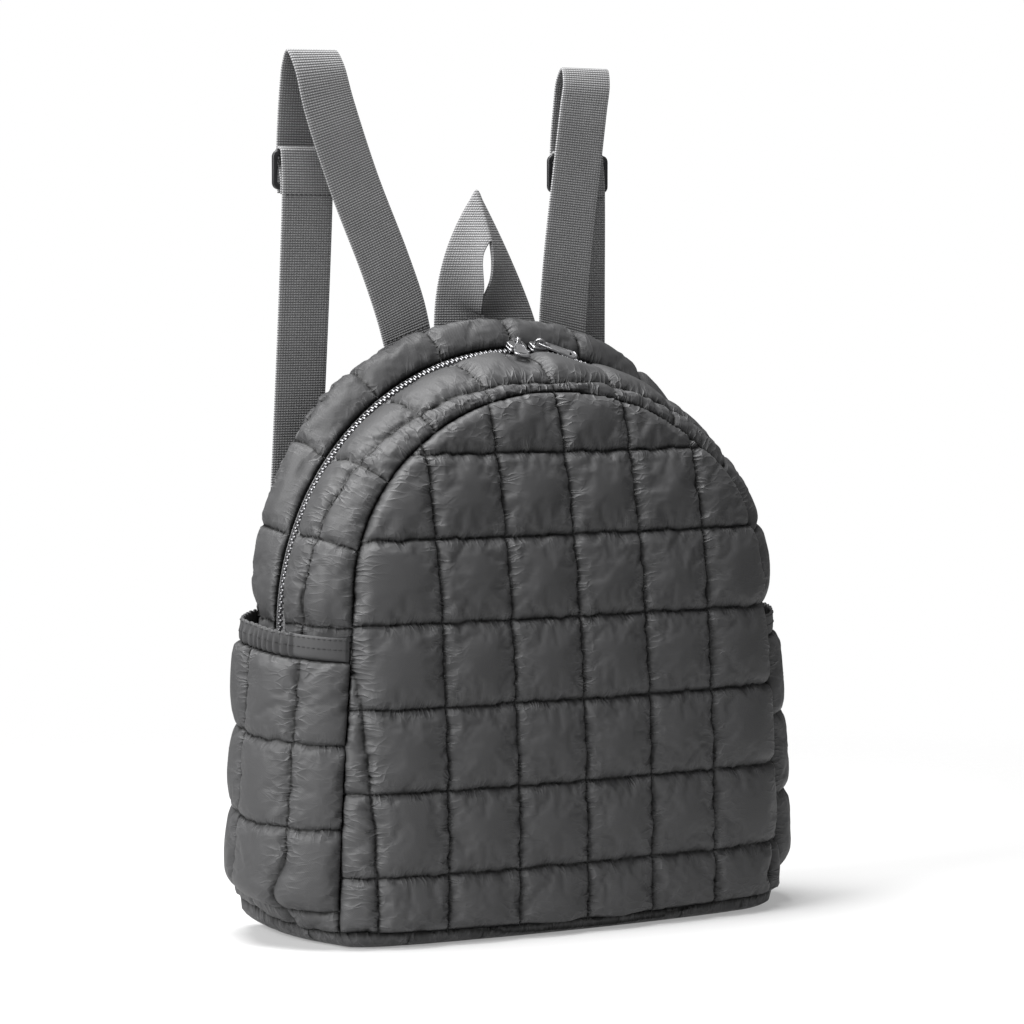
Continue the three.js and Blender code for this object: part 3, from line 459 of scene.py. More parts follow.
def pocket_points(side, share, height):
    """The pocket's surface along its stitch lines: share from front to back, height from foot to mouth."""
    share, height = np.broadcast_arrays(np.asarray(share, float), np.asarray(height, float))
    foot = foot_side(side, share)
    z = mix(foot[..., 2], pocket_top(share), height)
    p = mix(seam_points("front", side, z), seam_points("back", side, z), share[..., None])
    rise = ease(height, 0, 0.16)
    full = mix(POCKET_FOOT_FULL, mix(POCKET_FULL, POCKET_MOUTH_FULL, height ** 2), rise)
    gape = POCKET_GAPE * np.exp(-((share - 0.8) / 0.16) ** 2) * ease(height, 0.55, 1)
    wave = np.sin(math.pi * share ** 0.85).clip(0)
    p[..., 0] += side * (full * wave ** mix(1, 0.75, rise) + gape * wave ** 0.5)
    return mix(foot, p, ease(height, 0, 0.02)[..., None])


def zip_frames(shares):
    """Point, direction along, across to the back and out of the bag, along the zip."""
    shares = np.asarray(shares, float)
    step = 1e-3
    after = arch_points("zip", np.minimum(1, shares + step))
    along = unit(after - arch_points("zip", np.maximum(0, shares - step)))
    across = arch_points("back", shares) - arch_points("front", shares)
    across = unit(across - (across * along).sum(-1, keepdims=True) * along)
    return arch_points("zip", shares), along, across, unit(np.cross(along, across))


def zip_length():
    line = arch_points("zip", np.linspace(0, 1, 4000))
    return float(np.linalg.norm(np.diff(line, axis=0), axis=1).sum())


# Meshes
def link(name, data):
    """An object with the data, in the scene."""
    made = bpy.data.objects.new(name, data)
    bpy.context.scene.collection.objects.link(made)
    return made


def plain_mesh(holder):
    """The mesh of an object as its modifiers leave it."""
    bpy.context.view_layer.update()
    return bpy.data.meshes.new_from_object(holder.evaluated_get(bpy.context.evaluated_depsgraph_get()))


def new_piece(name, points, faces, finish, body="bag", replaces=()):
    """A mesh of points in millimetres, riding on a body."""
    mesh = bpy.data.meshes.new(name)
    mesh.from_pydata((np.asarray(points, float).reshape(-1, 3) * MM).tolist(), [], np.asarray(faces).tolist())
    mesh.validate()
    mesh.polygons.foreach_set("use_smooth", [True] * len(mesh.polygons))
    piece = link(name, mesh)
    if finish:
        mesh.materials.append(finish)
        settle(piece, body, replaces)
    return piece


def settle(piece, body, replaces=()):
    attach(piece, body)
    if replaces:
        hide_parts(*replaces)
    return piece


def set_uv(piece, coordinates):
    """Cloth coordinates in metres, one pair for each vertex."""
    mesh = piece.data
    corners = np.empty(len(mesh.loops), np.int32)
    mesh.loops.foreach_get("vertex_index", corners)
    layer = mesh.uv_layers.new(name="cloth")
    layer.data.foreach_set("uv", (np.asarray(coordinates, float) * MM)[corners].astype(np.float32).ravel())


def set_quilting(piece, gaps):
    """Signed distances from the stitch lines across and along, and the distance from the edge, in metres."""
    attribute = piece.data.attributes.new("quilting", "FLOAT_VECTOR", "POINT")
    attribute.data.foreach_set("vector", (np.asarray(gaps, float) * MM).astype(np.float32).ravel())


def lattice_faces(cells):
    """Corner numbers of the cells of a lattice that are kept."""
    columns = cells.shape[1]
    i, j = np.nonzero(cells)
    a = i * (columns + 1) + j
    return np.stack([a, a + 1, a + columns + 2, a + columns + 1], -1)


def rim_edges(cells):
    """Edges of the kept cells that have no neighbour, in the order of their faces."""
    rows, columns = cells.shape
    padded = np.pad(cells, 1)
    width = columns + 1
    edges = []
    for (di, dj), (p, q) in {(-1, 0): (0, 1), (0, 1): (1, 2), (1, 0): (2, 3), (0, -1): (3, 0)}.items():
        free = cells & ~padded[1 + di:1 + di + rows, 1 + dj:1 + dj + columns]
        i, j = np.nonzero(free)
        corner = np.stack([i * width + j, i * width + j + 1, (i + 1) * width + j + 1, (i + 1) * width + j], -1)
        edges.append(np.stack([corner[:, p], corner[:, q]], -1))
    return np.concatenate(edges)


def cells_around(cells):
    """How many kept cells meet at each point of the lattice."""
    rows, columns = cells.shape
    count = np.zeros((rows + 1, columns + 1), int)
    for i, j in ((0, 0), (0, 1), (1, 0), (1, 1)):
        count[i:i + rows, j:j + columns] += cells
    return count


def shell(name, outer, inner, cells, finish, replaces, flip=False):
    """A closed wall between two lattices of points, with the lattice number of each vertex."""
    size = outer.shape[0] * outer.shape[1]
    faces = lattice_faces(cells)
    edges = rim_edges(cells)
    rim = np.stack([edges[:, 1], edges[:, 0], edges[:, 0] + size, edges[:, 1] + size], -1)
    every = np.concatenate([faces, faces[:, ::-1] + size, rim])
    if flip:
        every = every[:, ::-1]
    used, compact = np.unique(every, return_inverse=True)
    points = np.concatenate([outer.reshape(-1, 3), inner.reshape(-1, 3)])[used]
    piece = new_piece(name, points, compact.reshape(every.shape), finish, "bag", replaces)
    return piece, used % size


def lattice_normals(points, flip):
    """Directions square to a lattice of points and out of the bag."""
    du = np.gradient(points, axis=1)
    dv = np.gradient(points, axis=0)
    return unit(np.cross(du, dv)) * (-1 if flip else 1)


def simulate(name, points, cells, pins, flip):
    """Blender's cloth under the filling's pressure, held along the stitches. Returns how far it moved."""
    sizes = bpy.context.scene.quilt_sizes
    faces = lattice_faces(cells)
    if flip:
        faces = faces[:, ::-1]
    used, compact = np.unique(faces, return_inverse=True)
    flat = points.reshape(-1, 3)
    cloth = new_piece(name, flat[used], compact.reshape(faces.shape), None)
    group = cloth.vertex_groups.new(name="stitched")
    group.add(np.nonzero(pins.ravel()[used])[0].tolist(), 1.0, "REPLACE")
    modifier = cloth.modifiers.new("Filling", "CLOTH")
    settings = modifier.settings
    for key, value in CLOTH.items():
        setattr(settings, key, value)
    settings.uniform_pressure_force = sizes.pressure
    settings.vertex_group_mass = group.name
    settings.effector_weights.gravity = 0
    modifier.collision_settings.use_collision = False
    scene = bpy.context.scene
    for step in range(1, sizes.frames + 1):
        scene.frame_set(step)
    done = cloth.evaluated_get(bpy.context.evaluated_depsgraph_get()).data
    moved = np.empty(len(used) * 3, np.float32)
    done.vertices.foreach_get("co", moved)
    scene.frame_set(1)
    mesh = cloth.data
    bpy.data.objects.remove(cloth)
    bpy.data.meshes.remove(mesh)
    shift = np.zeros_like(flat)
    shift[used] = moved.reshape(-1, 3) / MM - flat[used]
    return shift.reshape(points.shape)


def finer(coarse, shape):
    """A lattice of values at twice the spacing, filled in between."""
    rows, columns = shape[:2]
    i = np.minimum(np.arange(rows) / 2, coarse.shape[0] - 1)
    j = np.minimum(np.arange(columns) / 2, coarse.shape[1] - 1)
    i0, j0 = np.floor(i).astype(int), np.floor(j).astype(int)
    i1 = np.minimum(i0 + 1, coarse.shape[0] - 1)
    j1 = np.minimum(j0 + 1, coarse.shape[1] - 1)
    a, b = (i - i0)[:, None, None], (j - j0)[None, :, None]
    low = mix(coarse[i0][:, j0], coarse[i0][:, j1], b)
    high = mix(coarse[i1][:, j0], coarse[i1][:, j1], b)
    return mix(low, high, a)


def rounded_rise(gap):
    """How full a cell stands at a distance from its stitches: steep at the thread, level further in."""
    grip = bpy.context.scene.quilt_sizes.grip / MM
    return np.sqrt(1 - (1 - np.clip(gap / grip, 0, 1)) ** 2)


def wander(along, line, seed):
    """How far a stitch line strays from straight."""
    row = np.round(line / 7)
    return 0.65 * soft_noise(along / 7, row, seed) + 0.35 * soft_noise(along / 2.6, row, seed + 1)


def creases(gap, along, side, seed):
    """Small creases that run away from a stitch line, in patches, different on its two sides."""
    drift = gap * 0.22 * soft_noise(along / 17, side * 3, seed)
    fine = soft_noise((along + drift) / FINE_CREASE, side * 9 + gap / 12, seed + 1)
    wide = soft_noise((along + drift) / WIDE_CREASE, side * 5 + gap / 20, seed + 2)
    patch = 0.55 + 0.45 * soft_noise(along / CREASE_PATCH, side * 2 + 40, seed + 4)
    reach = np.exp(-gap / CREASE_REACH) * (1 - np.exp(-gap / CREASE_START))
    return patch * reach * (0.4 * fine + 0.9 * wide)


def quilt(name, base, inner, cells, coordinates, gap_u, gap_v, edge, replaces, flip, fill, seed, cap):
    """A padded, quilted wall over a lattice. Each gap holds the signed distance from the nearest stitch line
    and a sign that turns from line to line. The cap is the furthest that the simulation may move the cloth."""
    sizes = bpy.context.scene.quilt_sizes
    u, v = coordinates[..., 0], coordinates[..., 1]
    (gap_u, turn_u), (gap_v, turn_v) = gap_u, gap_v
    stray_u = gap_u + wander(v, u - gap_u, seed)
    stray_v = gap_v + wander(u, v - gap_v, seed + 3)
    near_u, near_v = np.abs(stray_u), np.abs(stray_v)
    rise = rounded_rise(near_u) * rounded_rise(near_v) * rounded_rise(edge)
    crown = 0.84 + 0.16 * np.minimum(1, np.minimum(near_u, near_v) / CROWN_REACH)
    crown = crown + 0.06 * soft_noise(u / CROWN_PATCH, v / CROWN_PATCH, seed + 5)
    crease = creases(near_u, v, np.sign(gap_u), seed + 11) + creases(near_v, u, np.sign(gap_v), seed + 17)
    crease = crease + creases(edge, u + v, 1, seed + 23)
    out = lattice_normals(base, flip)
    height = fill * (sizes.puff / MM * rise * crown) + sizes.pucker / MM * crease * np.minimum(1, fill + 0.3)
    outer = base + out * height[..., None]
    rough = outer[::2, ::2]
    whole = cells[: 2 * (cells.shape[0] // 2), : 2 * (cells.shape[1] // 2)]
    blocks = whole.reshape(whole.shape[0] // 2, 2, whole.shape[1] // 2, 2).all(axis=(1, 3))
    step = np.minimum(np.minimum(np.abs(gap_u), np.abs(gap_v)), edge)[::2, ::2]
    held = step < HELD_REACH
    rough = rough[: blocks.shape[0] + 1, : blocks.shape[1] + 1]
    held = held[: blocks.shape[0] + 1, : blocks.shape[1] + 1]
    shift = simulate(name + "_cloth", rough, blocks, held, flip)
    size = np.linalg.norm(shift, axis=-1, keepdims=True)
    shift = finer(shift * np.minimum(1, cap / np.maximum(size, 1e-6)), outer.shape)
    outer = outer + shift * np.broadcast_to(np.minimum(1, fill), outer.shape[:2])[..., None]
    return quilted_shell(name, outer, inner, cells, replaces, flip, coordinates,
                         (turn_u * stray_u, turn_v * stray_v, edge))


def quilted_shell(name, outer, inner, cells, replaces, flip, coordinates, gaps):
    """A closed wall of quilted cloth, with what its finish reads."""
    piece, kept = shell(name, outer, inner, cells, finish("quilted_nylon_cloth"), replaces, flip)
    set_uv(piece, coordinates.reshape(-1, 2)[kept])
    set_quilting(piece, np.stack(gaps, -1).reshape(-1, 3)[kept])
    return piece


def stitch_lines(paths):
    """Points and edges of open paths."""
    points, edges, start = [], [], 0
    for path in paths:
        points.append(path)
        edges += [(start + k, start + k + 1) for k in range(len(path) - 1)]
        start += len(path)
    return np.concatenate(points), edges


def from_lines(values, lines):
    """Signed distance of values from the nearest of a list of lines, and a sign that turns from line to line."""
    lines = np.asarray(lines, float)
    nearest = np.abs(values[..., None] - lines).argmin(-1)
    return np.stack([values - lines[nearest], 1.0 - 2 * (nearest % 2)])


def line_paths(base, coordinates, cells, columns, rows, flip, seed):
    """Stitch paths along lattice columns and rows, with the direction out of the cloth."""
    out = lattice_normals(base, flip)
    used = cells_around(cells) > 0
    u, v = coordinates[..., 0], coordinates[..., 1]
    paths, outward = [], []
    for axis, lines, along, line, shade in ((1, columns, v, u, 0), (0, rows, u, v, 3)):
        for k in lines:
            pick = (slice(None), k) if axis == 1 else (k, slice(None))
            keep = used[pick]
            if keep.sum() < 6:
                continue
            side = unit(np.gradient(base, axis=axis))[pick][keep]
            stray = wander(along[pick][keep], line[pick][keep], seed + shade)
            paths.append(base[pick][keep] - side * stray[:, None] + 0.3 * out[pick][keep])
            outward.append(out[pick][keep])
    return paths, outward


# Finishes
def nylon_finish(name, colour, quilted):
    """Fine woven nylon with a slight shine; quilted cloth creases along its stitches, with painted shade darkening
    the grooves and painted highlights on the creases beside them.
    """
    f = Finish(name)
    place = f.place("UV")
    u, v = f.split(place)[:2]
    weave = u.wave(0.0011) * v.wave(0.0011)
    cloud = f.noise(place, 38.0, 3.0)
    grain = f.noise(place, 900.0, 2.0)
    amount = 0.92 + 0.08 * cloud + 0.10 * (grain - 0.5) + 0.03 * weave
    height = 0.10 * weave + 0.35 * grain
    if quilted:
        gaps = f.node("ShaderNodeAttribute", {"attribute_name": "quilting"}, None, "Vector")
        gap_u, gap_v, edge = f.split(gaps)
        gap_u, gap_v = gap_u.math("ABSOLUTE", gap_u), gap_v.math("ABSOLUTE", gap_v)
        warp = 0.010 * f.noise(place, 60.0, 2.0)
        across = f.folds(f.join((u - warp) * 105.0, (v + warp) * 260.0))
        along = f.folds(f.join((u + warp) * 300.0, (v - warp) * 95.0))
        patch = f.node("ShaderNodeMapRange", None, {0: f.noise(place, 85.0, 1.0), 1: 0.32, 2: 0.62})
        crease = across * (gap_u.fade(0.0052) + 0.7 * edge.fade(0.006)) + 0.75 * along * gap_v.fade(0.0032)
        height = height + 6.5 * patch * crease
        # Painted shade along the stitch grooves: a near-black line at the groove's floor (named thread, though the
        # stitches are pieces of their own) and a wider painted shadow beside it, both darkening the colour.
        jag = 0.0016 * (f.noise(place, 420.0, 1.0) - 0.5)
        gap = edge.math("MINIMUM", edge, gap_u.math("MINIMUM", gap_u, gap_v)) + jag
        gap = gap.math("MAXIMUM", gap, 0.0)
        thread, shadow = (gap * gap).fade(0.0009 ** 2), gap.fade(0.0016)
        # The last factor lifts the colour where the creases run beside the stitches: painted highlights on the
        # creases.
        amount = amount * (1 - 0.97 * thread) * (1 - 0.35 * shadow) * (0.93 + 1.05 * patch * crease)
    return f.set(
        Base_Color=f.shade(colour, amount),
        Roughness=0.55 + 0.12 * (cloud - 0.5) + 0.1 * (grain - 0.5),
        Normal=f.bump(height, 0.00022),
        Specular_IOR_Level=0.3,
    )


def webbing_finish(name, colour):
    """Ribbed webbing: rows across the strap, columns along it, and a lighter bound edge."""
    f = Finish(name)
    place = f.place("UV")
    u, v = f.split(place)[:2]
    half = bpy.context.scene.trim_sizes.webbing / 2
    column = 0.5 + 0.5 * v.wave(0.0018)
    row = 0.5 + 0.5 * u.wave(0.0015)
    rib = row * (0.5 + 0.5 * column)
    edge = f.node("ShaderNodeMapRange", {"interpolation_type": "SMOOTHSTEP"},
                  {0: v.math("ABSOLUTE", v), 1: half - 0.0026, 2: half - 0.0008})
    wear = f.noise(place, 60.0, 3.0)
    fuzz = f.noise(place, 1500.0, 1.0)
    amount = (0.36 + 1.25 * rib + 0.08 * edge + 0.24 * (wear - 0.5)) * (0.9 + 0.2 * fuzz)
    return f.set(
        Base_Color=f.shade(colour, amount),
        Roughness=0.72 + 0.2 * (wear - 0.5),
        Normal=f.bump(rib + 0.35 * fuzz, 0.0004),
        Sheen_Weight=0.15,
        Specular_IOR_Level=0.35,
    )


def tape_finish(name, colour, source):
    """Close woven zip tape with fine ribs along it."""
    f = Finish(name)
    place = f.place(source)
    u, v = f.split(place)[:2]
    rib = v.wave(0.0009) * 0.6 + u.wave(0.0009) * 0.4
    wear = f.noise(place, 120.0, 3.0)
    return f.set(
        Base_Color=f.shade(colour, 0.85 + 0.15 * rib + 0.3 * (wear - 0.5)),
        Roughness=0.78 + 0.1 * (wear - 0.5),
        Normal=f.bump(rib, 0.0002),
    )


def metal_finish(name, colour, roughness):
    """Polished metal with faint scratches and dull spots."""
    f = Finish(name)
    place = f.place("Object")
    x, y, z = f.split(place)
    scratch = f.noise(f.join(x * 1400.0, y * 260.0, z * 1400.0), 1.0, 3.0)
    dull = f.noise(place, 220.0, 3.0)
    return f.set(
        Base_Color=f.shade(colour, 0.82 + 0.36 * dull),
        Metallic=1.0,
        Roughness=roughness + 0.22 * (dull - 0.4) + 0.1 * (scratch - 0.5),
        Normal=f.bump(scratch, 0.00003),
    )


def plastic_finish(name, colour):
    """Moulded plastic with a fine eggshell grain."""
    f = Finish(name)
    place = f.place("Object")
    grain = f.noise(place, 1800.0, 2.0)
    handled = f.noise(place, 90.0, 3.0)
    return f.set(
        Base_Color=f.shade(colour, 0.8 + 0.5 * handled),
        Roughness=0.36 + 0.2 * (handled - 0.5) + 0.08 * grain,
        Normal=f.bump(grain, 0.00005),
    )


# How each finish is made: its colour, how much of it, and what else the maker needs.
FINISHES = {
    "quilted_nylon_cloth": (nylon_finish, "nylon", 1, True),
    "plain_nylon_cloth": (nylon_finish, "nylon", 1, False),
    "sewing_thread": (tape_finish, "nylon", 0.45, "Object"),
    "strap_webbing": (webbing_finish, "webbing", 1),
    "zip_tape_weave": (tape_finish, "tape", 1, "UV"),
    "zip_teeth_metal": (metal_finish, "teeth", 1, 0.42),
    "dark_nickel_metal": (metal_finish, "nickel", 1, 0.30),
    "satin_nickel_metal": (metal_finish, "nickel", 0.45, 0.55),
    "slider_plastic_grain": (plastic_finish, "plastic", 1),
}


def finish(name):
    """The material of a finish, made on first use."""
    found = bpy.data.materials.get(name)
    if found:
        return found
    maker, colour, share, *rest = FINISHES[name]
    return maker(name, tuple(share * c for c in getattr(bpy.context.scene.colours, colour)), *rest)


# Things that repeat along a path
class PathTree:
    """A geometry node tree that sets one small shape along the edges of a mesh."""

    def __init__(self, name, inputs):
        self.tree = bpy.data.node_groups.new(name, "GeometryNodeTree")
        face = self.tree.interface
        face.new_socket("Paths", in_out="INPUT", socket_type="NodeSocketGeometry")
        self.keys = {}
        for label, kind in inputs.items():
            self.keys[label] = face.new_socket(label, in_out="INPUT", socket_type=kind).identifier
        face.new_socket("Shapes", in_out="OUTPUT", socket_type="NodeSocketGeometry")
        self.start = self.tree.nodes.new("NodeGroupInput")
        self.end = self.tree.nodes.new("NodeGroupOutput")

    def node(self, kind, settings=None, sockets=None, output=0):
        return add_node(self.tree, kind, settings, sockets).outputs[output]

    def input(self, label):
        return self.start.outputs[label]

    def turned(self):
        """Rotation with X along the path and Z out of the bag."""
        tangent = self.node("GeometryNodeInputTangent")
        outward = self.node("GeometryNodeInputNamedAttribute", {"data_type": "FLOAT_VECTOR"}, {"Name": "outward"})
        first = self.node("FunctionNodeAlignRotationToVector", {"axis": "X"}, {"Vector": tangent})
        return self.node("FunctionNodeAlignRotationToVector", {"axis": "Z", "pivot_axis": "X"},
                         {"Rotation": first, "Vector": outward})

    def close(self, points, shape):
        placed = self.node("GeometryNodeInstanceOnPoints", None,
                           {"Points": points, "Instance": shape, "Rotation": self.turned()})
        real = self.node("GeometryNodeRealizeInstances", None, {0: placed})
        smooth = self.node("GeometryNodeSetShadeSmooth", None, {0: real})
        dressed = self.node("GeometryNodeSetMaterial", None, {0: smooth, "Material": self.input("Finish")})
        self.tree.links.new(dressed, self.end.inputs[0])
        return self

    def grow(self, name, paths, outward, values, body, slot):
        """A plain mesh of the shapes along paths, lists of points in millimetres."""
        points, edges = stitch_lines(paths)
        mesh = bpy.data.meshes.new(name + "_paths")
        mesh.from_pydata((points * MM).tolist(), edges, [])
        attribute = mesh.attributes.new("outward", "FLOAT_VECTOR", "POINT")
        attribute.data.foreach_set("vector", np.concatenate(outward).astype(np.float32).ravel())
        carrier = link(name + "_paths", mesh)
        modifier = carrier.modifiers.new("Along", "NODES")
        modifier.node_group = self.tree
        for label, value in values.items():
            modifier[self.keys[label]] = value
        made = plain_mesh(carrier)
        made.name = name
        piece = link(name, made)
        bpy.data.objects.remove(carrier)
        bpy.data.meshes.remove(mesh)
        return settle(piece, body)


def stitch_tree():
    """Stitches: short rounded threads at even spacing."""
    found = getattr(stitch_tree, "made", None)
    if found:
        return found
    t = PathTree("stitches", {"Pitch": "NodeSocketFloat", "Length": "NodeSocketFloat", "Thread": "NodeSocketFloat",
                              "Finish": "NodeSocketMaterial"})
    curve = t.node("GeometryNodeMeshToCurve", None, {0: t.input("Paths")})
    points = t.node("GeometryNodeResampleCurve", {"mode": "LENGTH"}, {"Curve": curve, "Length": t.input("Pitch")})
    ball = t.node("GeometryNodeMeshUVSphere", None, {"Segments": 6, "Rings": 4, "Radius": 0.5})
    size = t.node("ShaderNodeCombineXYZ", None, {0: t.input("Length"), 1: t.input("Thread"), 2: t.input("Thread")})
    shape = t.node("GeometryNodeTransform", None, {"Geometry": ball, "Scale": size})
    stitch_tree.made = t.close(points, shape)
    return stitch_tree.made


def sew(name, paths, outward, slot="quilted_nylon", pitch=None, thick=None):
    """A row of stitches along each path."""
    sizes = bpy.context.scene.quilt_sizes
    pitch = pitch or sizes.stitch
    values = {"Pitch": pitch, "Length": 0.78 * pitch, "Thread": thick or sizes.thread,
              "Finish": finish("sewing_thread")}
    return stitch_tree().grow(name, paths, outward, values, "bag", slot)


def tooth_tree():
    """Zip teeth: small rounded blocks, every other one shifted across the zip."""
    t = PathTree("teeth", {"Pitch": "NodeSocketFloat", "Size": "NodeSocketVector", "Shift": "NodeSocketFloat",
                           "Finish": "NodeSocketMaterial"})
    curve = t.node("GeometryNodeMeshToCurve", None, {0: t.input("Paths")})
    even = t.node("GeometryNodeResampleCurve", {"mode": "LENGTH"}, {"Curve": curve, "Length": t.input("Pitch")})
    index = t.node("GeometryNodeInputIndex")
    odd = t.node("ShaderNodeMath", {"operation": "MODULO"}, {0: index, 1: 2.0})
    swing = t.node("ShaderNodeMath", {"operation": "SUBTRACT"}, {0: odd, 1: 0.5})
    reach = t.node("ShaderNodeMath", {"operation": "MULTIPLY"}, {0: swing, 1: t.input("Shift")})
    tangent = t.node("GeometryNodeInputTangent")
    outward = t.node("GeometryNodeInputNamedAttribute", {"data_type": "FLOAT_VECTOR"}, {"Name": "outward"})
    across = t.node("ShaderNodeVectorMath", {"operation": "CROSS_PRODUCT"}, {0: outward, 1: tangent})
    offset = t.node("ShaderNodeVectorMath", {"operation": "SCALE"}, {0: across, "Scale": reach})
    points = t.node("GeometryNodeSetPosition", None, {"Geometry": even, "Offset": offset})
    block = t.node("GeometryNodeMeshCube", None, {"Size": (1.0, 1.0, 1.0)})
    round_block = t.node("GeometryNodeSubdivisionSurface", None, {"Mesh": block, "Level": 2, "Edge Crease": 0.62})
    shape = t.node("GeometryNodeTransform", None, {"Geometry": round_block, "Scale": t.input("Size")})
    return t.close(points, shape)


# Panels
def panel_ring(name):
    """The closed seam round the front or the back, with where its foot begins."""
    foot = foot_edge(name, 900)
    rise = np.linspace(foot[-1, 2], SIDE_TOP, 400)[:-1]
    ring = np.concatenate([seam_points(name, -1, rise), arch_points(name, np.linspace(0, 1, 2400)),
                           seam_points(name, 1, rise)[::-1]])
    return np.concatenate([ring, foot[::-1]]), len(ring)


def nearest_on(ring, points):
    """For plane points, the number of the nearest ring point and its distance."""
    tree = kdtree.KDTree(len(ring))
    for k, (x, y) in enumerate(ring):
        tree.insert((x, y, 0), k)
    tree.balance()
    found = [tree.find((x, y, 0))[1:] for x, y in points.reshape(-1, 2)]
    index, distance = np.array(found).T
    shape = points.shape[:-1]
    return index.astype(int).reshape(shape), distance.reshape(shape)


def snapped(plane, inside, ring, step):
    """Kept cells of a plane lattice, with its rim drawn onto the ring."""
    index, distance = nearest_on(ring, plane)
    keep = inside | (distance < 0.45 * step)
    cells = keep[:-1, :-1] & keep[1:, :-1] & keep[:-1, 1:] & keep[1:, 1:]
    around = cells_around(cells)
    rim = (around > 0) & (around < 4)
    plane = np.where(rim[..., None], ring[index], plane)
    return plane, cells, np.where(rim | ~inside, 0, distance), index


def under_straps(x, z):
    """How far the filling stands where the straps are sewn in at the foot of the back."""
    share = np.ones_like(x)
    for strap in STRAP_RUNS.values():
        beside = np.maximum(0, np.abs(x - strap["foot"]) - WEB_WIDTH / 2)
        below = 1 - ease(z, *STRAP_FOOT_ZONE)
        share = share * (1 - STRAP_FOOT_PRESS * np.exp(-(beside / STRAP_FOOT_REACH) ** 2) * below)
    return share


def quilted_face(name):
    """The front or the back: cells over a bellied arch."""
    flip, seed, step = name == "back", FACE_SEED[name], QUILT_PITCH / FACE_CELLS[name]
    ring, foot_from = panel_ring(name)
    x, z = np.meshgrid(np.arange(-FACE_HALF, FACE_HALF + 0.1, step),
                       FIRST_ROW - QUILT_PITCH + np.arange(0, FACE_HEIGHT, step))
    flat_x = x
    if name == "front":
        x = x + mix(*COLUMN_LEAN["left"], (z / SIDE_TOP) ** 2) * ease(-x, *COLUMN_REACH)
        x = x - mix(*COLUMN_LEAN["right"], ease(z, 25, 60)) * ease(x, *COLUMN_REACH)
    corner = np.clip(x / foot_corner(name, 1)[0], -1, 1)
    inside = (np.abs(x) <= half_width(name, z)) & (z <= SEAMS[name]["top"])
    inside &= z >= foot_height(corner, REAR[name])
    plane, cells, edge, index = snapped(np.stack([x, z], -1), inside, ring[:, [0, 2]], step)
    x, z = plane[..., 0], plane[..., 1]
    base = np.stack([x, FACE_DEPTH[name](x, z), z], -1)
    turn_in = np.where((index < foot_from)[..., None], into_side(base), INTO["base"])
    inner = base + WALL * (INTO[name] + turn_in * np.exp(-edge / 3)[..., None])
    gap_u = from_lines(flat_x, QUILT_PITCH * np.arange(-4, 5))
    gap_v = from_lines(z, FIRST_ROW + QUILT_PITCH * np.arange(-1, 8))
    piece = quilt(f"{name}_quilt", base, inner, cells, plane, gap_u, gap_v, edge, [f"{name}_panel"], flip,
                  under_straps(x, z) if flip else 1.0, seed, cap=3.5)
    every = FACE_CELLS[name]
    columns = range(round(FACE_HALF / step) % every, base.shape[1], every)
    paths, outward = line_paths(base, plane, cells, columns, range(0, base.shape[0], every), flip, seed)
    sew(f"{name}_stitches", paths, outward)


class BAG_OT_faces(bpy.types.Operator):
    """Quilted front and back."""

    bl_idname = "bag.faces"
    bl_label = "Front and back"

    def execute(self, context):
        for name in FACE_CELLS:
            quilted_face(name)
        return {"FINISHED"}


def base_ring(count):
    shares = np.linspace(0, 1, count)
    return np.concatenate([foot_edge("front", 3 * count), foot_side(1, shares)[1:-1],
                           foot_edge("back", 3 * count)[::-1], foot_side(-1, shares)[::-1][1:-1]])


class BAG_OT_base(bpy.types.Operator):
    """Padded base with a rolled edge."""

    bl_idname = "bag.base"
    bl_label = "Base"

    def execute(self, context):
        ring = base_ring(300)
        x, y = np.meshgrid(np.arange(-BASE_HALF, BASE_HALF + 0.1, BASE_STEP),
                           np.arange(BASE_FRONT, BASE_REAR + 0.1, BASE_STEP))
        plane = np.stack([x, y], -1)
        front_y, back_y = SEAMS["front"]["foot_y"], SEAMS["back"]["foot_y"]
        share = np.clip((y - front_y) / (back_y - front_y), 0, 1)
        side = np.interp(share, np.linspace(0, 1, 100), foot_side(1, np.linspace(0, 1, 100))[:, 0])
        front = np.interp(x, *foot_edge("front", 400)[:, :2].T)
        rear = np.interp(x, *foot_edge("back", 400)[:, :2].T)
        inside = (np.abs(x) <= side) & (y >= front) & (y <= rear)
        plane, cells, edge, index = snapped(plane, inside, ring[:, :2], BASE_STEP)
        top = ring[index, 2] - LAYER_GAP
        roll = np.clip(1 - edge / (1.3 * top), 0, 1)
        low = top * (1 - np.sqrt(np.maximum(0, 1 - roll ** 2)))
        lines = (np.arange(-4, 5) + 0.5) * QUILT_PITCH
        (gap_u, turn_u), (gap_v, turn_v) = from_lines(plane[..., 0], lines), from_lines(plane[..., 1], lines)
        near = np.minimum(np.abs(gap_u), np.abs(gap_v))
        groove = 1.8 * np.exp(-near / 3) * ease(edge, 6, 22)
        along = plane[..., 0] + plane[..., 1]
        crease = 0.5 * soft_noise(along / 3.4, edge / 12, 61) * np.exp(-edge / 5) * (1 - np.exp(-edge / 1.2))
        centre = unit(np.stack([-plane[..., 0] / 3, -plane[..., 1], 0 * low], -1))
        level = low / top
        bulge = 6.0 * level * (1 - level) * (1 + 0.35 * soft_noise(along / 9, 4, 63))
        outer = np.concatenate([plane, (low + groove + np.maximum(0, crease))[..., None]], -1)
        outer -= centre * bulge[..., None]
        inner = np.concatenate([plane, np.maximum(top, 5)[..., None]], -1)
        inner += (INTO["base"] * WALL + centre * WALL) * np.exp(-edge / 4)[..., None]
        piece = quilted_shell("base_pad", outer, inner, cells, ["base_panel"], True, plane,
                              (turn_u * gap_u, turn_v * gap_v, edge))
        return {"FINISHED"}


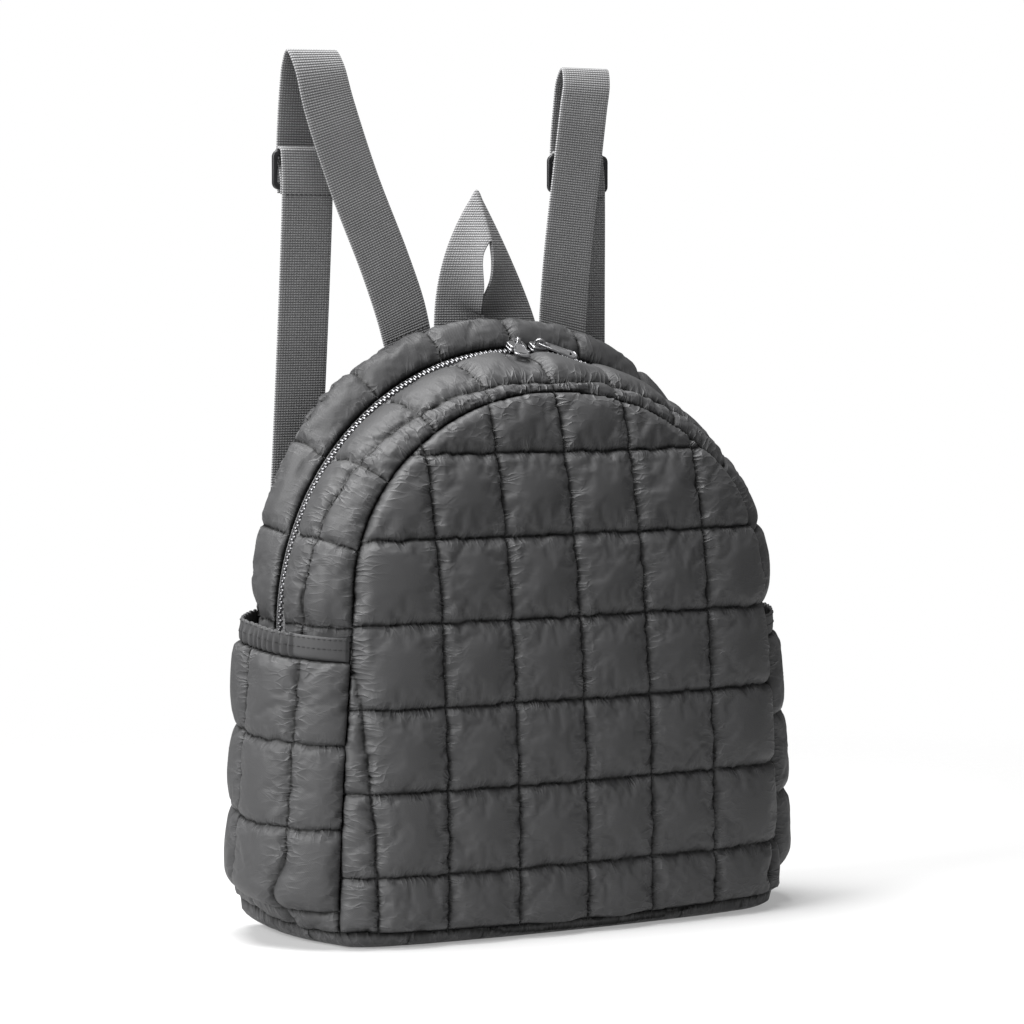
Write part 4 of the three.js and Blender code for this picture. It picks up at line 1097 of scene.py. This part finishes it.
def cell_places(lines, step):
    """Places from the first line to the last at about a step apart, an even number in each cell."""
    places = [np.array([lines[0]])]
    for low, high in zip(lines, lines[1:]):
        count = max(2, 2 * round((high - low) / step / 2))
        places.append(np.linspace(low, high, count + 1)[1:])
    return np.concatenate(places)


def gusset_lines():
    length = zip_length()
    reach = math.floor(length / 2 / GUSSET_PITCH)
    return [0, *(length / 2 + GUSSET_PITCH * np.arange(-reach, reach + 1)), length], length


def under_pulls(along, across, pressed):
    """How far the filling stands where the zip pulls lie on it."""
    share = np.ones(np.broadcast(along, across).shape)
    if not pressed:
        return share
    for slider in ZIP_SLIDERS.values():
        heading = math.radians(slider["heading"])
        x, y = along - slider["x"], across
        reach = np.clip(x * math.cos(heading) + y * math.sin(heading), 0, PULL_LENGTH)
        away = np.hypot(x - reach * math.cos(heading), y - reach * math.sin(heading))
        share = share * (1 - 0.85 * np.exp(-(np.maximum(0, away - 4) / 7) ** 2))
    return share


def quilted_gusset(name):
    """One quilted strip from its arched seam to the zip."""
    flip, seed = name == "front", GUSSET_SEED[name]
    lines, length = gusset_lines()
    along = cell_places(lines, GUSSET_STEP)
    shares = along / length
    zip_p, tangent, across, zip_out = zip_frames(shares)
    seam = arch_points(name, shares)
    into = into_side(seam) + INTO[name]
    edge_p = seam + into * pocket_tuck(name, seam[:, 2])[:, None]
    hem = zip_p + across * ZIP_HEM[name]
    reach = hem - edge_p
    width = np.linalg.norm(reach, axis=-1)
    out = unit(np.cross(reach, tangent))
    out *= np.sign((out * zip_out).sum(-1))[:, None]
    away = np.abs(2 * shares - 1)
    line = mix(*GUSSET_LINE[name], away)
    bow = mix(*GUSSET_BOW[name], ease(away, 0.2, 0.7))
    first, second = GUSSET_CELLS
    v = np.concatenate([np.linspace(0, 1, first + 1)[None] * line[:, None],
                        line[:, None] + np.linspace(0, 1, second + 1)[None, 1:] * (1 - line)[:, None]], 1)
    arch = bow[:, None] * 4 * v * (1 - v)
    base = edge_p[:, None] + reach[:, None] * v[..., None] + out[:, None] * arch[..., None]
    cells = np.ones((len(along) - 1, first + second), bool)
    u = v * width[:, None]
    slack = GUSSET_SLACK * np.exp(-(zip_p[:, 2] - SIDE_TOP - 12) / 26)[:, None] * np.sin(math.pi * v)
    fold = slack * soft_noise(u / 5, along[:, None] / 40, SLACK_SEED[name])
    base = base + out[:, None] * fold[..., None]
    coordinates = np.stack([u, np.broadcast_to(along[:, None], u.shape)], -1)
    gap_u = np.stack([u - (line * width)[:, None], np.ones_like(u)])
    gap_v = from_lines(coordinates[..., 1], lines)
    ends = np.minimum(along, length - along)[:, None]
    edge = np.minimum(np.minimum(u, 2.2 * (width[:, None] - u)), ends + 2)
    tuck = np.where(v[..., None] < 0.02, into[:, None], -out[:, None])
    inner = base + WALL * mix(tuck, -zip_out[:, None], ease(v, 0.9, 1)[..., None])
    fill = GUSSET_FILL[name] * np.clip((seam[:, 2] - SIDE_TOP) / 40, 0.2, 1)[:, None] * np.ones_like(u)
    fill = fill * mix(1, GUSSET_ZIP_FILL[name], ease(v, 0.35, 0.9))
    fill = fill * under_pulls(along[:, None] - length / 2, u - width[:, None] + ZIP_HEM["front"], flip)
    piece = quilt(f"{name}_gusset_quilt", base, inner, cells, coordinates, gap_u, gap_v, edge, [f"{name}_gusset"],
                  flip, fill, seed, cap=2.6)
    rows = [nearest(along, at) for at in lines[1:-1]]
    paths, outward = line_paths(base, coordinates, cells, [first], rows, flip, seed)
    sew(f"{name}_gusset_stitches", paths, outward)


class BAG_OT_gussets(bpy.types.Operator):
    """Quilted strips on either side of the zip."""

    bl_idname = "bag.gussets"
    bl_label = "Gussets"

    def execute(self, context):
        for name in ("front", "back"):
            quilted_gusset(name)
        return {"FINISHED"}


def quilted_pocket(name, side):
    """A full pocket, quilted in rows below its mouth."""
    flip, seed = side < 0, POCKET_SEED[name]
    low, top = float(foot_height(1, 0)), POCKET_TOPS[0]
    lines = [low, *(top - POCKET_ROW * np.arange(3, -1, -1))]
    rows = cell_places(lines, POCKET_STEP)
    shares = np.linspace(0, 1, 600)
    round_it = pocket_points(side, shares, np.full(600, 0.6))
    run = run_along(round_it)
    seams = np.interp(np.array(POCKET_COLUMNS) / POCKET_ARC, shares, run)
    columns = cell_places(seams, POCKET_STEP)
    u, v = np.meshgrid(columns, rows)
    share, height = np.interp(u, run, shares), (v - low) / (top - low)
    share = share + POCKET_DRIFT * (1 - ease(height, 0, 0.3)) * np.sin(math.pi * share ** 0.7)
    base = pocket_points(side, share, height)
    cells = np.ones((len(rows) - 1, len(columns) - 1), bool)
    edge = np.minimum(np.minimum(u, run[-1] - u), np.minimum(v - low, top - v))
    inner = base + POCKET_WALL * mitred(base, share, height)
    coordinates = np.stack([u, v], -1)
    piece = quilt(f"pocket_quilt_{name}", base, inner, cells, coordinates, from_lines(u, seams[1:-1]),
                  from_lines(v, lines[1:-1]), edge, [f"pocket_{name}"], flip, POCKET_FILL, seed, cap=2.5)
    at = [nearest(columns, c) for c in seams[1:-1]]
    across = [nearest(rows, r) for r in lines[1:-1]]
    paths, outward = line_paths(base, coordinates, cells, at, across, flip, seed)
    sew(f"pocket_stitches_{name}", paths, outward)


def closed_mesh(name, points, faces, finish_name):
    """A mesh of points in metres with its faces turned outwards."""
    mesh = bpy.data.meshes.new(name)
    mesh.from_pydata(points, [], faces)
    work = bmesh.new()
    work.from_mesh(mesh)
    bmesh.ops.recalc_face_normals(work, faces=work.faces)
    work.to_mesh(mesh)
    work.free()
    mesh.materials.append(finish(finish_name))
    return mesh


def skin_faces(count, size):
    """Faces of a skin through matching closed sections, capped at both ends."""
    i = np.arange(count - 1)[:, None] * size
    k = np.arange(size)[None]
    after = (k + 1) % size
    quads = np.stack(np.broadcast_arrays(i + k, i + after, i + size + after, i + size + k), -1)
    return [*quads.reshape(-1, 4).tolist(), list(range(size))[::-1], list(range((count - 1) * size, count * size))]


def tube(name, sections, finish_name, replaces, coordinates):
    """A capped skin through matching closed sections, as a piece of the bag."""
    faces = skin_faces(*sections.shape[:2])
    mesh = closed_mesh(name, (sections.reshape(-1, 3) * MM).tolist(), faces, finish_name)
    mesh.polygons.foreach_set("use_smooth", [len(face) == 4 for face in faces])
    piece = link(name, mesh)
    set_uv(piece, coordinates.reshape(-1, 2))
    return settle(piece, "bag", replaces)


def gathered_binding(name, side):
    """The pocket's mouth: smooth at the front, gathered over elastic at the rear."""
    share = np.linspace(0.006, 0.994, 420)
    foot = pocket_points(side, share, np.ones_like(share))
    out = -into_side(foot)
    along = run_along(foot)
    gathered = ease(share, BINDING_PLAIN, BINDING_PLAIN + 0.015)
    phase = along / (bpy.context.scene.trim_sizes.gather / MM) + 0.35 * soft_noise(along / 11, 3, 71)
    ends = np.clip(np.minimum(share, 1 - share) / 0.03, 0, 1)
    turn = np.linspace(0, 2 * math.pi, 44, endpoint=False)
    wide = np.sign(np.cos(turn)) * np.abs(np.cos(turn)) ** 0.7
    tall = np.sign(np.sin(turn)) * np.abs(np.sin(turn)) ** 0.35
    low, high = LAYER_GAP, BINDING_HEIGHT
    rise = low + (high - low) * (tall + 1) / 2
    hem = ease(rise, high - 6, high - 5)
    ridge = np.sin(2 * math.pi * (phase[:, None] + 0.05 * soft_noise(rise[None] / 4, phase[:, None], 73)))
    pinch = np.exp(-((rise - (high - BINDING_HEM)) / 0.7) ** 2) + 1.2 * np.exp(-((rise - low) / 1.2) ** 2)
    swell = gathered[:, None] * (1.5 - 0.9 * hem)[None] * ridge - 0.6 * pinch[None]
    swell = swell + 0.25 * soft_noise(along[:, None] / 9, rise[None] / 6, 79)
    join = along[nearest(share, BINDING_PLAIN)]
    swell = swell - 0.9 * np.exp(-((along - join) / 0.6) ** 2)[:, None]
    depth = 0.6 * mix(0.2, 1, ends)[:, None] - BINDING_THICK / 2 + BINDING_THICK / 2 * wide[None]
    depth = depth + np.where(wide[None] > 0, 1, 0.5) * swell * ends[:, None]
    lift = rise[None] + 0.5 * gathered[:, None] * ridge * ease(rise, high - 3, high)[None]
    sections = foot[:, None] + out[:, None] * depth[..., None]
    sections[..., 2] += lift
    coordinates = np.stack(np.broadcast_arrays(along[:, None], rise[None]), -1)
    piece = tube(f"pocket_mouth_{name}", sections, "plain_nylon_cloth",
                 [f"pocket_binding_{name}"], coordinates)
    rows = [nearest(rise[: len(turn) // 4], at) for at in (high - 1.4, high - BINDING_HEM)]
    paths = [sections[:, row] + 0.25 * out for row in rows]
    sew(f"pocket_mouth_stitches_{name}", paths, [out] * len(paths), "plain_nylon", 0.0031, 0.0006)


def plain_side(name, side):
    """The plain side behind a pocket."""
    share, height = np.meshgrid(np.linspace(0, 1, 36), np.linspace(0, 1, 44))
    foot = foot_side(side, share)
    z = mix(foot[..., 2], SIDE_TOP - 0.3, height)
    p = mix(seam_points("front", side, z), seam_points("back", side, z), share[..., None])
    p[..., 0] += side * np.sin(math.pi * share) * mix(FOOT_BOW, SIDE_BULGE, height ** 3)
    into = mitred(p, share, height)
    sag = 0.5 * soft_noise(share * 5, height * 4, 83) * np.sin(math.pi * share) * np.sin(math.pi * height)
    outer = p + into * (POCKET_WALL + LAYER_GAP + 0.3 + np.abs(sag))[..., None]
    inner = p + into * (POCKET_WALL + LAYER_GAP + 2)
    cells = np.ones((share.shape[0] - 1, share.shape[1] - 1), bool)
    piece, kept = shell(f"side_cloth_{name}", outer, inner, cells, finish("plain_nylon_cloth"),
                        [f"side_panel_{name}"], side < 0)
    set_uv(piece, np.stack([share * POCKET_ARC, z], -1).reshape(-1, 2)[kept])


class BAG_OT_pockets(bpy.types.Operator):
    """Quilted side pockets, their gathered mouths and the plain sides behind them."""

    bl_idname = "bag.pockets"
    bl_label = "Pockets"

    def execute(self, context):
        for name, side in SIDES.items():
            quilted_pocket(name, side)
            gathered_binding(name, side)
            plain_side(name, side)
        return {"FINISHED"}


# Zip
def zip_strip(name, low, high, bottom, top, replaces):
    """A woven strip along the zip between two places across it."""
    shares = np.linspace(0, 1, 420)
    p, _, across, out = zip_frames(shares)
    ring = rounded_ring((high - low) / 2, (top - bottom) / 2, 0.35, 8)
    a, b = (low + high) / 2 + ring[:, 0], (bottom + top) / 2 + ring[:, 1]
    sections = p[:, None] + across[:, None] * a[None, :, None] + out[:, None] * b[None, :, None]
    run = shares * zip_length()
    coordinates = np.stack(np.broadcast_arrays(run[:, None], a[None]), -1)
    return tube(name, sections, "zip_tape_weave", replaces, coordinates)


def rounded_ring(half_wide, half_thick, radius, flat):
    """Points round a flat section with rounded edges."""
    places = np.linspace(-half_wide + radius, half_wide - radius, flat)
    turn = np.linspace(0, math.pi / 2, 4)[1:-1]
    arc = np.stack([np.sin(turn), np.cos(turn)], -1) * radius
    x, y = half_wide - radius, half_thick - radius
    upper = np.stack([places, np.full(flat, half_thick)], -1)
    right_up = arc + (x, y)
    right = np.array([(half_wide, y), (half_wide, -y)]) if y > 1e-6 else np.array([(half_wide, 0.0)])
    right_low = (arc * (1, -1))[::-1] + (x, -y)
    half = np.concatenate([upper, right_up, right, right_low])
    return np.concatenate([half, -half])


class BAG_OT_zip(bpy.types.Operator):
    """Zip tapes and teeth over the top arch."""

    bl_idname = "bag.zip"
    bl_label = "Zip"

    def execute(self, context):
        sizes = context.scene.trim_sizes
        for name, (edges, replaces) in ZIP_STRIPS.items():
            zip_strip(name, *edges, replaces)
        p, _, across, out = zip_frames(np.linspace(0.002, 0.998, 1500))
        teeth = tooth_tree().grow("zip_teeth_rows", [p - 0.85 * out], [out],
                                  {"Pitch": sizes.tooth_pitch, "Size": TOOTH_SIZE, "Shift": TOOTH_SHIFT,
                                   "Finish": finish("zip_teeth_metal")}, "bag", "zip_teeth")
        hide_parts("zip_teeth")
        sew("zip_topstitch", [p - 5.9 * across - 1.1 * out], [out], "zip_tape", 0.003, 0.0005)
        return {"FINISHED"}


# Hard pieces
def rounded_box(width, height, radius, steps=7):
    turn = np.linspace(0, math.pi / 2, steps)
    corner = np.stack([np.cos(turn), np.sin(turn)], -1) * radius
    x, y = width / 2 - radius, height / 2 - radius
    return np.concatenate([corner + (x, y), corner[::-1] * (-1, 1) + (-x, y), -corner + (-x, -y),
                           corner[::-1] * (1, -1) + (x, -y)])


def plate(outlines, thick, bevel, lift=0.0):
    """Vertices and faces of a flat plate with rounded edges, from outlines in millimetres."""
    curve = bpy.data.curves.new("outline", "CURVE")
    curve.dimensions = "2D"
    curve.fill_mode = "BOTH"
    curve.extrude = thick / 2 - bevel
    curve.bevel_depth = bevel
    curve.bevel_resolution = 2
    curve.offset = -bevel
    for outline in outlines:
        spline = curve.splines.new("POLY")
        spline.points.add(len(outline) - 1)
        for point, (x, y) in zip(spline.points, outline):
            point.co = (x, y, 0, 1)
        spline.use_cyclic_u = True
    holder = link("outline", curve)
    mesh = plain_mesh(holder)
    work = bmesh.new()
    work.from_mesh(mesh)
    bmesh.ops.remove_doubles(work, verts=work.verts, dist=1e-4)
    bmesh.ops.recalc_face_normals(work, faces=work.faces)
    points = [vertex.co + Vector((0, 0, lift)) for vertex in work.verts]
    faces = [[vertex.index for vertex in face.verts] for face in work.faces]
    work.free()
    bpy.data.objects.remove(holder)
    bpy.data.curves.remove(curve)
    bpy.data.meshes.remove(mesh)
    return points, faces


def arch_bar(inner, outer, leg, sunk, width):
    """Vertices and faces of the rounded arch over a pull's end bar."""
    middle, half = (inner + outer) / 2, (outer - inner) / 2
    turn = np.linspace(0, math.pi, 19)
    path = np.concatenate([[(middle, -sunk)], np.stack([middle * np.cos(turn), leg + middle * np.sin(turn)], -1),
                           [(-middle, -sunk)]])
    away = np.concatenate([[(1, 0)], np.stack([np.cos(turn), np.sin(turn)], -1), [(-1, 0)]])
    ring = rounded_ring(width / 2, half, 0.55, 4)
    sections = np.zeros((len(path), len(ring), 3))
    sections[..., 0] = path[:, None, 0] + away[:, None, 0] * ring[None, :, 1]
    sections[..., 1] = ring[None, :, 0]
    sections[..., 2] = path[:, None, 1] + away[:, None, 1] * ring[None, :, 1]
    return [Vector(p) for p in sections.reshape(-1, 3)], skin_faces(*sections.shape[:2])


def hard_piece(name, parts, place, finish_name, body, replaces):
    """Parts in millimetres, placed by a matrix, as one smooth-edged piece."""
    points, faces = [], []
    for part_points, part_faces in parts:
        start = len(points)
        points += [place @ point for point in part_points]
        faces += [[start + k for k in face] for face in part_faces]
    mesh = closed_mesh(name, [point * MM for point in points], faces, finish_name)
    mesh.polygons.foreach_set("use_smooth", [True] * len(mesh.polygons))
    mesh.set_sharp_from_angle(angle=math.radians(38))
    return settle(link(name, mesh), body, replaces)


def bend(a, b, c):
    """A curve from one point to another, drawn towards the one between."""
    turn = np.linspace(0, 1, 9)[:, None]
    return (1 - turn) ** 2 * a + 2 * turn * (1 - turn) * b + turn ** 2 * c


def tapered(start, length, root, tip):
    """A pull's outline, wider towards its rounded tip."""
    curve = bend(*np.array([(length - 3, -tip / 2), (length + 0.5, 0), (length - 3, tip / 2)]))
    return np.concatenate([[(start, -root / 2)], curve, [(start, root / 2)]])


class BAG_OT_zip_sliders(bpy.types.Operator):
    """Zip sliders and their hinged pulls."""

    bl_idname = "bag.zip_sliders"
    bl_label = "Zip sliders"

    def execute(self, context):
        for name, slider in ZIP_SLIDERS.items():
            p, along, across, out = (row[0] for row in zip_frames([0.5 + slider["x"] / zip_length()]))
            seat = Matrix.Identity(4)
            for column, axis in enumerate((along, across, out, p + SLIDER_LIFT * out)):
                seat.col[column][:3] = axis
            turn = Matrix.Rotation(math.radians(slider["heading"]), 4, "Z")
            body, waist = rounded_box(*ZIP_BODY), rounded_box(*ZIP_WAIST)
            crown_points, crown_faces = arch_bar(**ZIP_ARCH)
            crown = [turn @ point + Vector((0, 0, SLIDER_PLATE)) for point in crown_points]
            parts = [plate([body], 1.2, 0.45, 0.6), plate([body], 1.3, 0.5, 2.75), plate([waist], 2.4, 0.1, 1.7),
                     (crown, crown_faces)]
            hard_piece(f"zip_slider_{name}_metal", parts, seat, "dark_nickel_metal", "bag",
                       [f"zip_slider_{name}"])
            hinge = seat @ Matrix.Translation((0, 0, SLIDER_PLATE + HINGE_LIFT)) @ turn
            hinge = hinge @ Matrix.Rotation(math.radians(slider["dip"]), 4, "Y")
            rim = plate([tapered(*PULL_OUTLINE), PULL_EYE, tapered(*PULL_FIELD)], 1.4, 0.4)
            web = plate([tapered(*PULL_WEB), bend(*np.array(PULL_SLOT))], 0.8, 0.15)
            for piece, part, metal in (("metal", rim, "dark_nickel_metal"), ("field", web, "satin_nickel_metal")):
                hard_piece(f"zip_pull_{name}_{piece}", [part], hinge, metal, f"pull_{name}",
                           [f"zip_pull_{name}"])
        return {"FINISHED"}


# Webbing
def spline(points, per):
    """A smooth line through points, as a centripetal spline."""
    ends = np.concatenate([[2 * points[0] - points[1]], points, [2 * points[-1] - points[-2]]])
    rows = []
    for p0, p1, p2, p3 in zip(ends, ends[1:], ends[2:], ends[3:]):
        d0, d1, d2 = (max(1e-4, np.linalg.norm(b - a) ** 0.5) for a, b in ((p0, p1), (p1, p2), (p2, p3)))
        t1 = ((p1 - p0) / d0 - (p2 - p0) / (d0 + d1) + (p2 - p1) / d1) * d1
        t2 = ((p2 - p1) / d1 - (p3 - p1) / (d1 + d2) + (p3 - p2) / d2) * d1
        t = np.arange(per)[:, None] / per
        rows.append(p1 + t1 * t + (3 * (p2 - p1) - 2 * t1 - t2) * t ** 2 + (2 * (p1 - p2) + t1 + t2) * t ** 3)
    return np.concatenate([*rows, points[-1:]])


def webbing(name, left, right, replaces, held, per=10, upright=False):
    """A strap between two smoothed edges, its weave level where it stands upright. Returns its middle line, the
    directions across it and out of its face, and the distance along it."""
    left, right = spline(left, per), spline(right, per)
    middle = (left + right) / 2
    along = np.gradient(middle, axis=0)
    wide = np.linalg.norm(right - left, axis=-1)
    across = (right - left) / wide[:, None]
    normal = unit(np.cross(across, along))
    sizes = bpy.context.scene.trim_sizes
    ring = rounded_ring(sizes.webbing / MM / 2, sizes.webbing_thick / MM / 2, 0.7, 12)
    a = ring[None, :, 0] * (wide / (sizes.webbing / MM))[:, None]
    sections = middle[:, None] + across[:, None] * a[..., None] + normal[:, None] * ring[None, :, 1, None]
    run = run_along(middle)
    weave = sections[..., 2] if upright else run[:, None]
    coordinates = np.stack(np.broadcast_arrays(weave, ring[None, :, 0]), -1)
    piece = tube(name, sections, "strap_webbing", replaces, coordinates)
    return middle, across, normal, run


def hanging(x, y, z):
    """Edges of a strap that hangs level."""
    return (x - WEB_WIDTH / 2, y, z), (x + WEB_WIDTH / 2, y, z)


def bar_tack(name, middle, across, normal, run, places):
    """Rows of stitches across both faces of a strap at some distances along it."""
    paths, outward = [], []
    reach = np.linspace(-14.5, 14.5, 30)[:, None]
    for place in places:
        k = nearest(run, place)
        for side in (-1, 1):
            paths.append(middle[k] + across[k] * reach + side * normal[k] * 0.9)
            outward.append(np.repeat(side * normal[k][None], 30, 0))
    sew(name, paths, outward, "webbing", 0.0032, 0.0007)


class BAG_OT_straps(bpy.types.Operator):
    """Webbing shoulder straps and the sliders they run through."""

    bl_idname = "bag.straps"
    bl_label = "Straps"

    def execute(self, context):
        for name, strap in STRAP_RUNS.items():
            fold = strap["upper"][-1][2]
            rows = [((lx, y, lz), (rx, y, rz)) for y, lx, lz, rx, rz in strap["upper"]]
            for start, fall in ((fold, STRAP_FALL), (SLIDER_TOP, STRAP_END)):
                rows += [hanging(strap["drop"], y, start + z) for y, z in fall]
            left, right = np.array(rows, float).transpose(1, 0, 2)
            made = webbing(f"strap_upper_{name}_web", left, right, [f"strap_upper_{name}"], "hung")
            bar_tack(f"strap_upper_{name}_tack", *made, (3, 6))
            bar = SLIDER_TOP - SLIDER_BAR / 2
            hang, foot = strap["hang"], strap["foot"]
            rows = [hanging(mix(hang, foot, (1 - z / SLIDER_TOP) ** 1.3), y, z) for y, z in STRAP_CLIMB]
            for turn in np.linspace(0, math.pi, 8):
                rows.append(hanging(hang, SLIDER_Y - STRAP_TURN * math.cos(turn), bar + STRAP_TURN * math.sin(turn)))
            rows += [hanging(hang, y, bar - z) for y, z in STRAP_TAIL]
            left, right = np.array(rows, float).transpose(1, 0, 2)
            made = webbing(f"strap_lower_{name}_web", left, right, [f"strap_lower_{name}"], "hung")
            middle, run = made[0], made[3]
            bar_tack(f"strap_lower_{name}_tack", *made, [run[int(np.argmax(middle[:, 2] > TACK_Z))]])
            opening = rounded_box(SLIDER_WIDTH - 2 * SLIDER_SIDE, SLIDER_HEIGHT - 2 * SLIDER_BAR, 1)
            frame_plate = plate([rounded_box(SLIDER_WIDTH, SLIDER_HEIGHT, 4), opening], SLIDER_THICK, 0.6)
            place = Matrix.Translation(((hang + strap["drop"]) / 2, SLIDER_Y, SLIDER_TOP - SLIDER_HEIGHT / 2))
            place = place @ Matrix.Rotation(math.pi / 2, 4, "X")
            hard_piece(f"strap_slider_{name}_frame", [frame_plate], place, "slider_plastic_grain", "bag",
                       [f"strap_slider_{name}"])
        return {"FINISHED"}


def handle_edge(side, share):
    """Outer and inner edge of the carrying loop's leg."""
    h = HANDLE
    x = mix(side * h["foot"], h["tip_x"], share ** (2.3 if side < 0 else 1.2))
    outer = np.array([x, mix(h["y"], h["tip_y"], share ** 2), mix(h["foot_z"], h["tip_z"], share)])
    gap = mix(0.1, h["slit"], ease(share, 0.42, 0.85))
    level = min(h["spread"], max(0, (abs(x - h["slit_x"] * ease(share, 0, 0.6)) - gap) / WEB_WIDTH))
    drop = math.sqrt(max(0, 1 - level * level))
    lean = 0.45 * ease(share, 0.15, 0.7)
    inner = outer + WEB_WIDTH * np.array([-side * level, -lean * drop, -math.sqrt(1 - lean * lean) * drop])
    inner[2] = max(inner[2], h["inner_z"])
    return outer, inner


def handle_leg(side):
    """Edges of one leg from foot to tip, the inner one never dipping on the way up."""
    outer, inner = np.array([handle_edge(side, share) for share in np.linspace(0, 1, 15)]).transpose(1, 0, 2)
    inner[:, 2] = np.minimum.accumulate(inner[::-1, 2])[::-1]
    return outer, inner


class BAG_OT_handle(bpy.types.Operator):
    """Carrying loop of folded webbing."""

    bl_idname = "bag.handle"
    bl_label = "Carrying loop"

    def execute(self, context):
        outer, inner = (np.concatenate([up, down[-2::-1]]) for up, down in zip(handle_leg(-1), handle_leg(1)))
        webbing("handle_loop_web", outer, inner, ["handle_loop"], "folded", 8, True)
        return {"FINISHED"}


# Stage
class BAG_OT_stage(bpy.types.Operator):
    """Floor, light and camera."""

    bl_idname = "bag.stage"
    bl_label = "Stage"

    def execute(self, context):
        scene = context.scene
        mesh = bpy.data.meshes.new("floor")
        corners = [(x * FLOOR_HALF, y * FLOOR_HALF, 0) for x, y in ((-1, -1), (1, -1), (1, 1), (-1, 1))]
        mesh.from_pydata(corners, [], [(0, 1, 2, 3)])
        floor = link("floor", mesh)
        f = Finish("studio_floor")
        place = f.place("Object")
        cloud = f.noise(place, 1.5, 2.0)
        x, y = f.split(place)[:2]
        away = (x * x + y * y).math("SQRT", x * x + y * y)
        fade = f.node("ShaderNodeMapRange", {"interpolation_type": "SMOOTHSTEP"},
                      {0: away, 1: FLOOR_FADE[0], 2: FLOOR_FADE[1], 3: 1.0, 4: 0.0})
        mesh.materials.append(f.set(Base_Color=f.shade(tuple(scene.colours.floor), 0.98 + 0.04 * cloud),
                                    Roughness=0.6 + 0.1 * cloud, Alpha=fade, Emission_Color=(1, 1, 1, 1),
                                    Emission_Strength=FLOOR_GLOW))
        world = bpy.data.worlds.new("studio")
        scene.world = world
        world.use_nodes = True
        tree = world.node_tree
        seen = add_node(tree, "ShaderNodeLightPath").outputs["Is Camera Ray"]
        level = add_node(tree, "ShaderNodeMapRange", None,
                         {"Value": seen, "To Min": WORLD_LIGHT, "To Max": WORLD_SEEN})
        background = tree.nodes["Background"].inputs
        plug(tree, background["Color"], (1, 1, 1, 1))
        plug(tree, background["Strength"], level.outputs["Result"])
        for name, (place, size, energy) in LAMPS.items():
            light = bpy.data.lights.new(name, "AREA")
            light.size = size
            light.energy = energy
            lamp = link(name, light)
            lamp.location = place
            lamp.rotation_euler = (LAMP_TARGET - Vector(place)).to_track_quat("-Z", "Y").to_euler()
        set_camera(scene)
        scene.view_settings.view_transform = "Standard"
        return {"FINISHED"}


def set_camera(scene):
    """The photo's view: the bag from its front left, a little from above."""
    right = Vector((math.cos(CAMERA_AZIMUTH), math.sin(CAMERA_AZIMUTH), 0))
    level = math.cos(CAMERA_ELEVATION)
    back = Vector((right.y * level, -right.x * level, math.sin(CAMERA_ELEVATION)))
    up = back.cross(right)
    look = (-right * CAMERA_ASIDE + up * CAMERA_BELOW - back).normalized()
    side = look.cross(Vector((0, 0, 1))).normalized()
    camera = bpy.data.cameras.new("camera")
    camera.sensor_width = SENSOR
    camera.lens = SENSOR * CAMERA_FOCAL
    camera.clip_end = 200
    view = link("camera", camera)
    turned = Matrix((side, side.cross(look), -look)).transposed().to_4x4()
    view.matrix_world = Matrix.Translation(CAMERA_TARGET + back * CAMERA_DISTANCE) @ turned
    scene.camera = view


class BAG_PT_panel(bpy.types.Panel):
    """Sizes, colours and pieces of the backpack."""

    bl_idname = "BAG_PT_panel"
    bl_label = "Quilted backpack"
    bl_space_type = "VIEW_3D"
    bl_region_type = "UI"
    bl_category = "Backpack"

    def draw(self, context):
        scene = context.scene
        for group in (scene.quilt_sizes, scene.trim_sizes, scene.colours):
            box = self.layout.box()
            for name in group.__annotations__:
                box.prop(group, name)
        for operator in OPERATORS:
            self.layout.operator(operator.bl_idname)


OPERATORS = (BAG_OT_faces, BAG_OT_base, BAG_OT_gussets, BAG_OT_pockets, BAG_OT_zip, BAG_OT_zip_sliders,
             BAG_OT_straps, BAG_OT_handle, BAG_OT_stage)
GROUPS = {"quilt_sizes": QuiltSizes, "trim_sizes": TrimSizes, "colours": Colours}


def register():
    for kind in (*GROUPS.values(), *OPERATORS, BAG_PT_panel):
        bpy.utils.register_class(kind)
    for name, group in GROUPS.items():
        setattr(bpy.types.Scene, name, PointerProperty(type=group))


def unregister():
    for name in GROUPS:
        delattr(bpy.types.Scene, name)
    for kind in (BAG_PT_panel, *reversed(OPERATORS), *reversed(GROUPS.values())):
        bpy.utils.unregister_class(kind)


def main():
    register()
    for operator in OPERATORS:
        getattr(bpy.ops.bag, operator.bl_idname.partition(".")[2])()


if __name__ == "__main__":
    main()
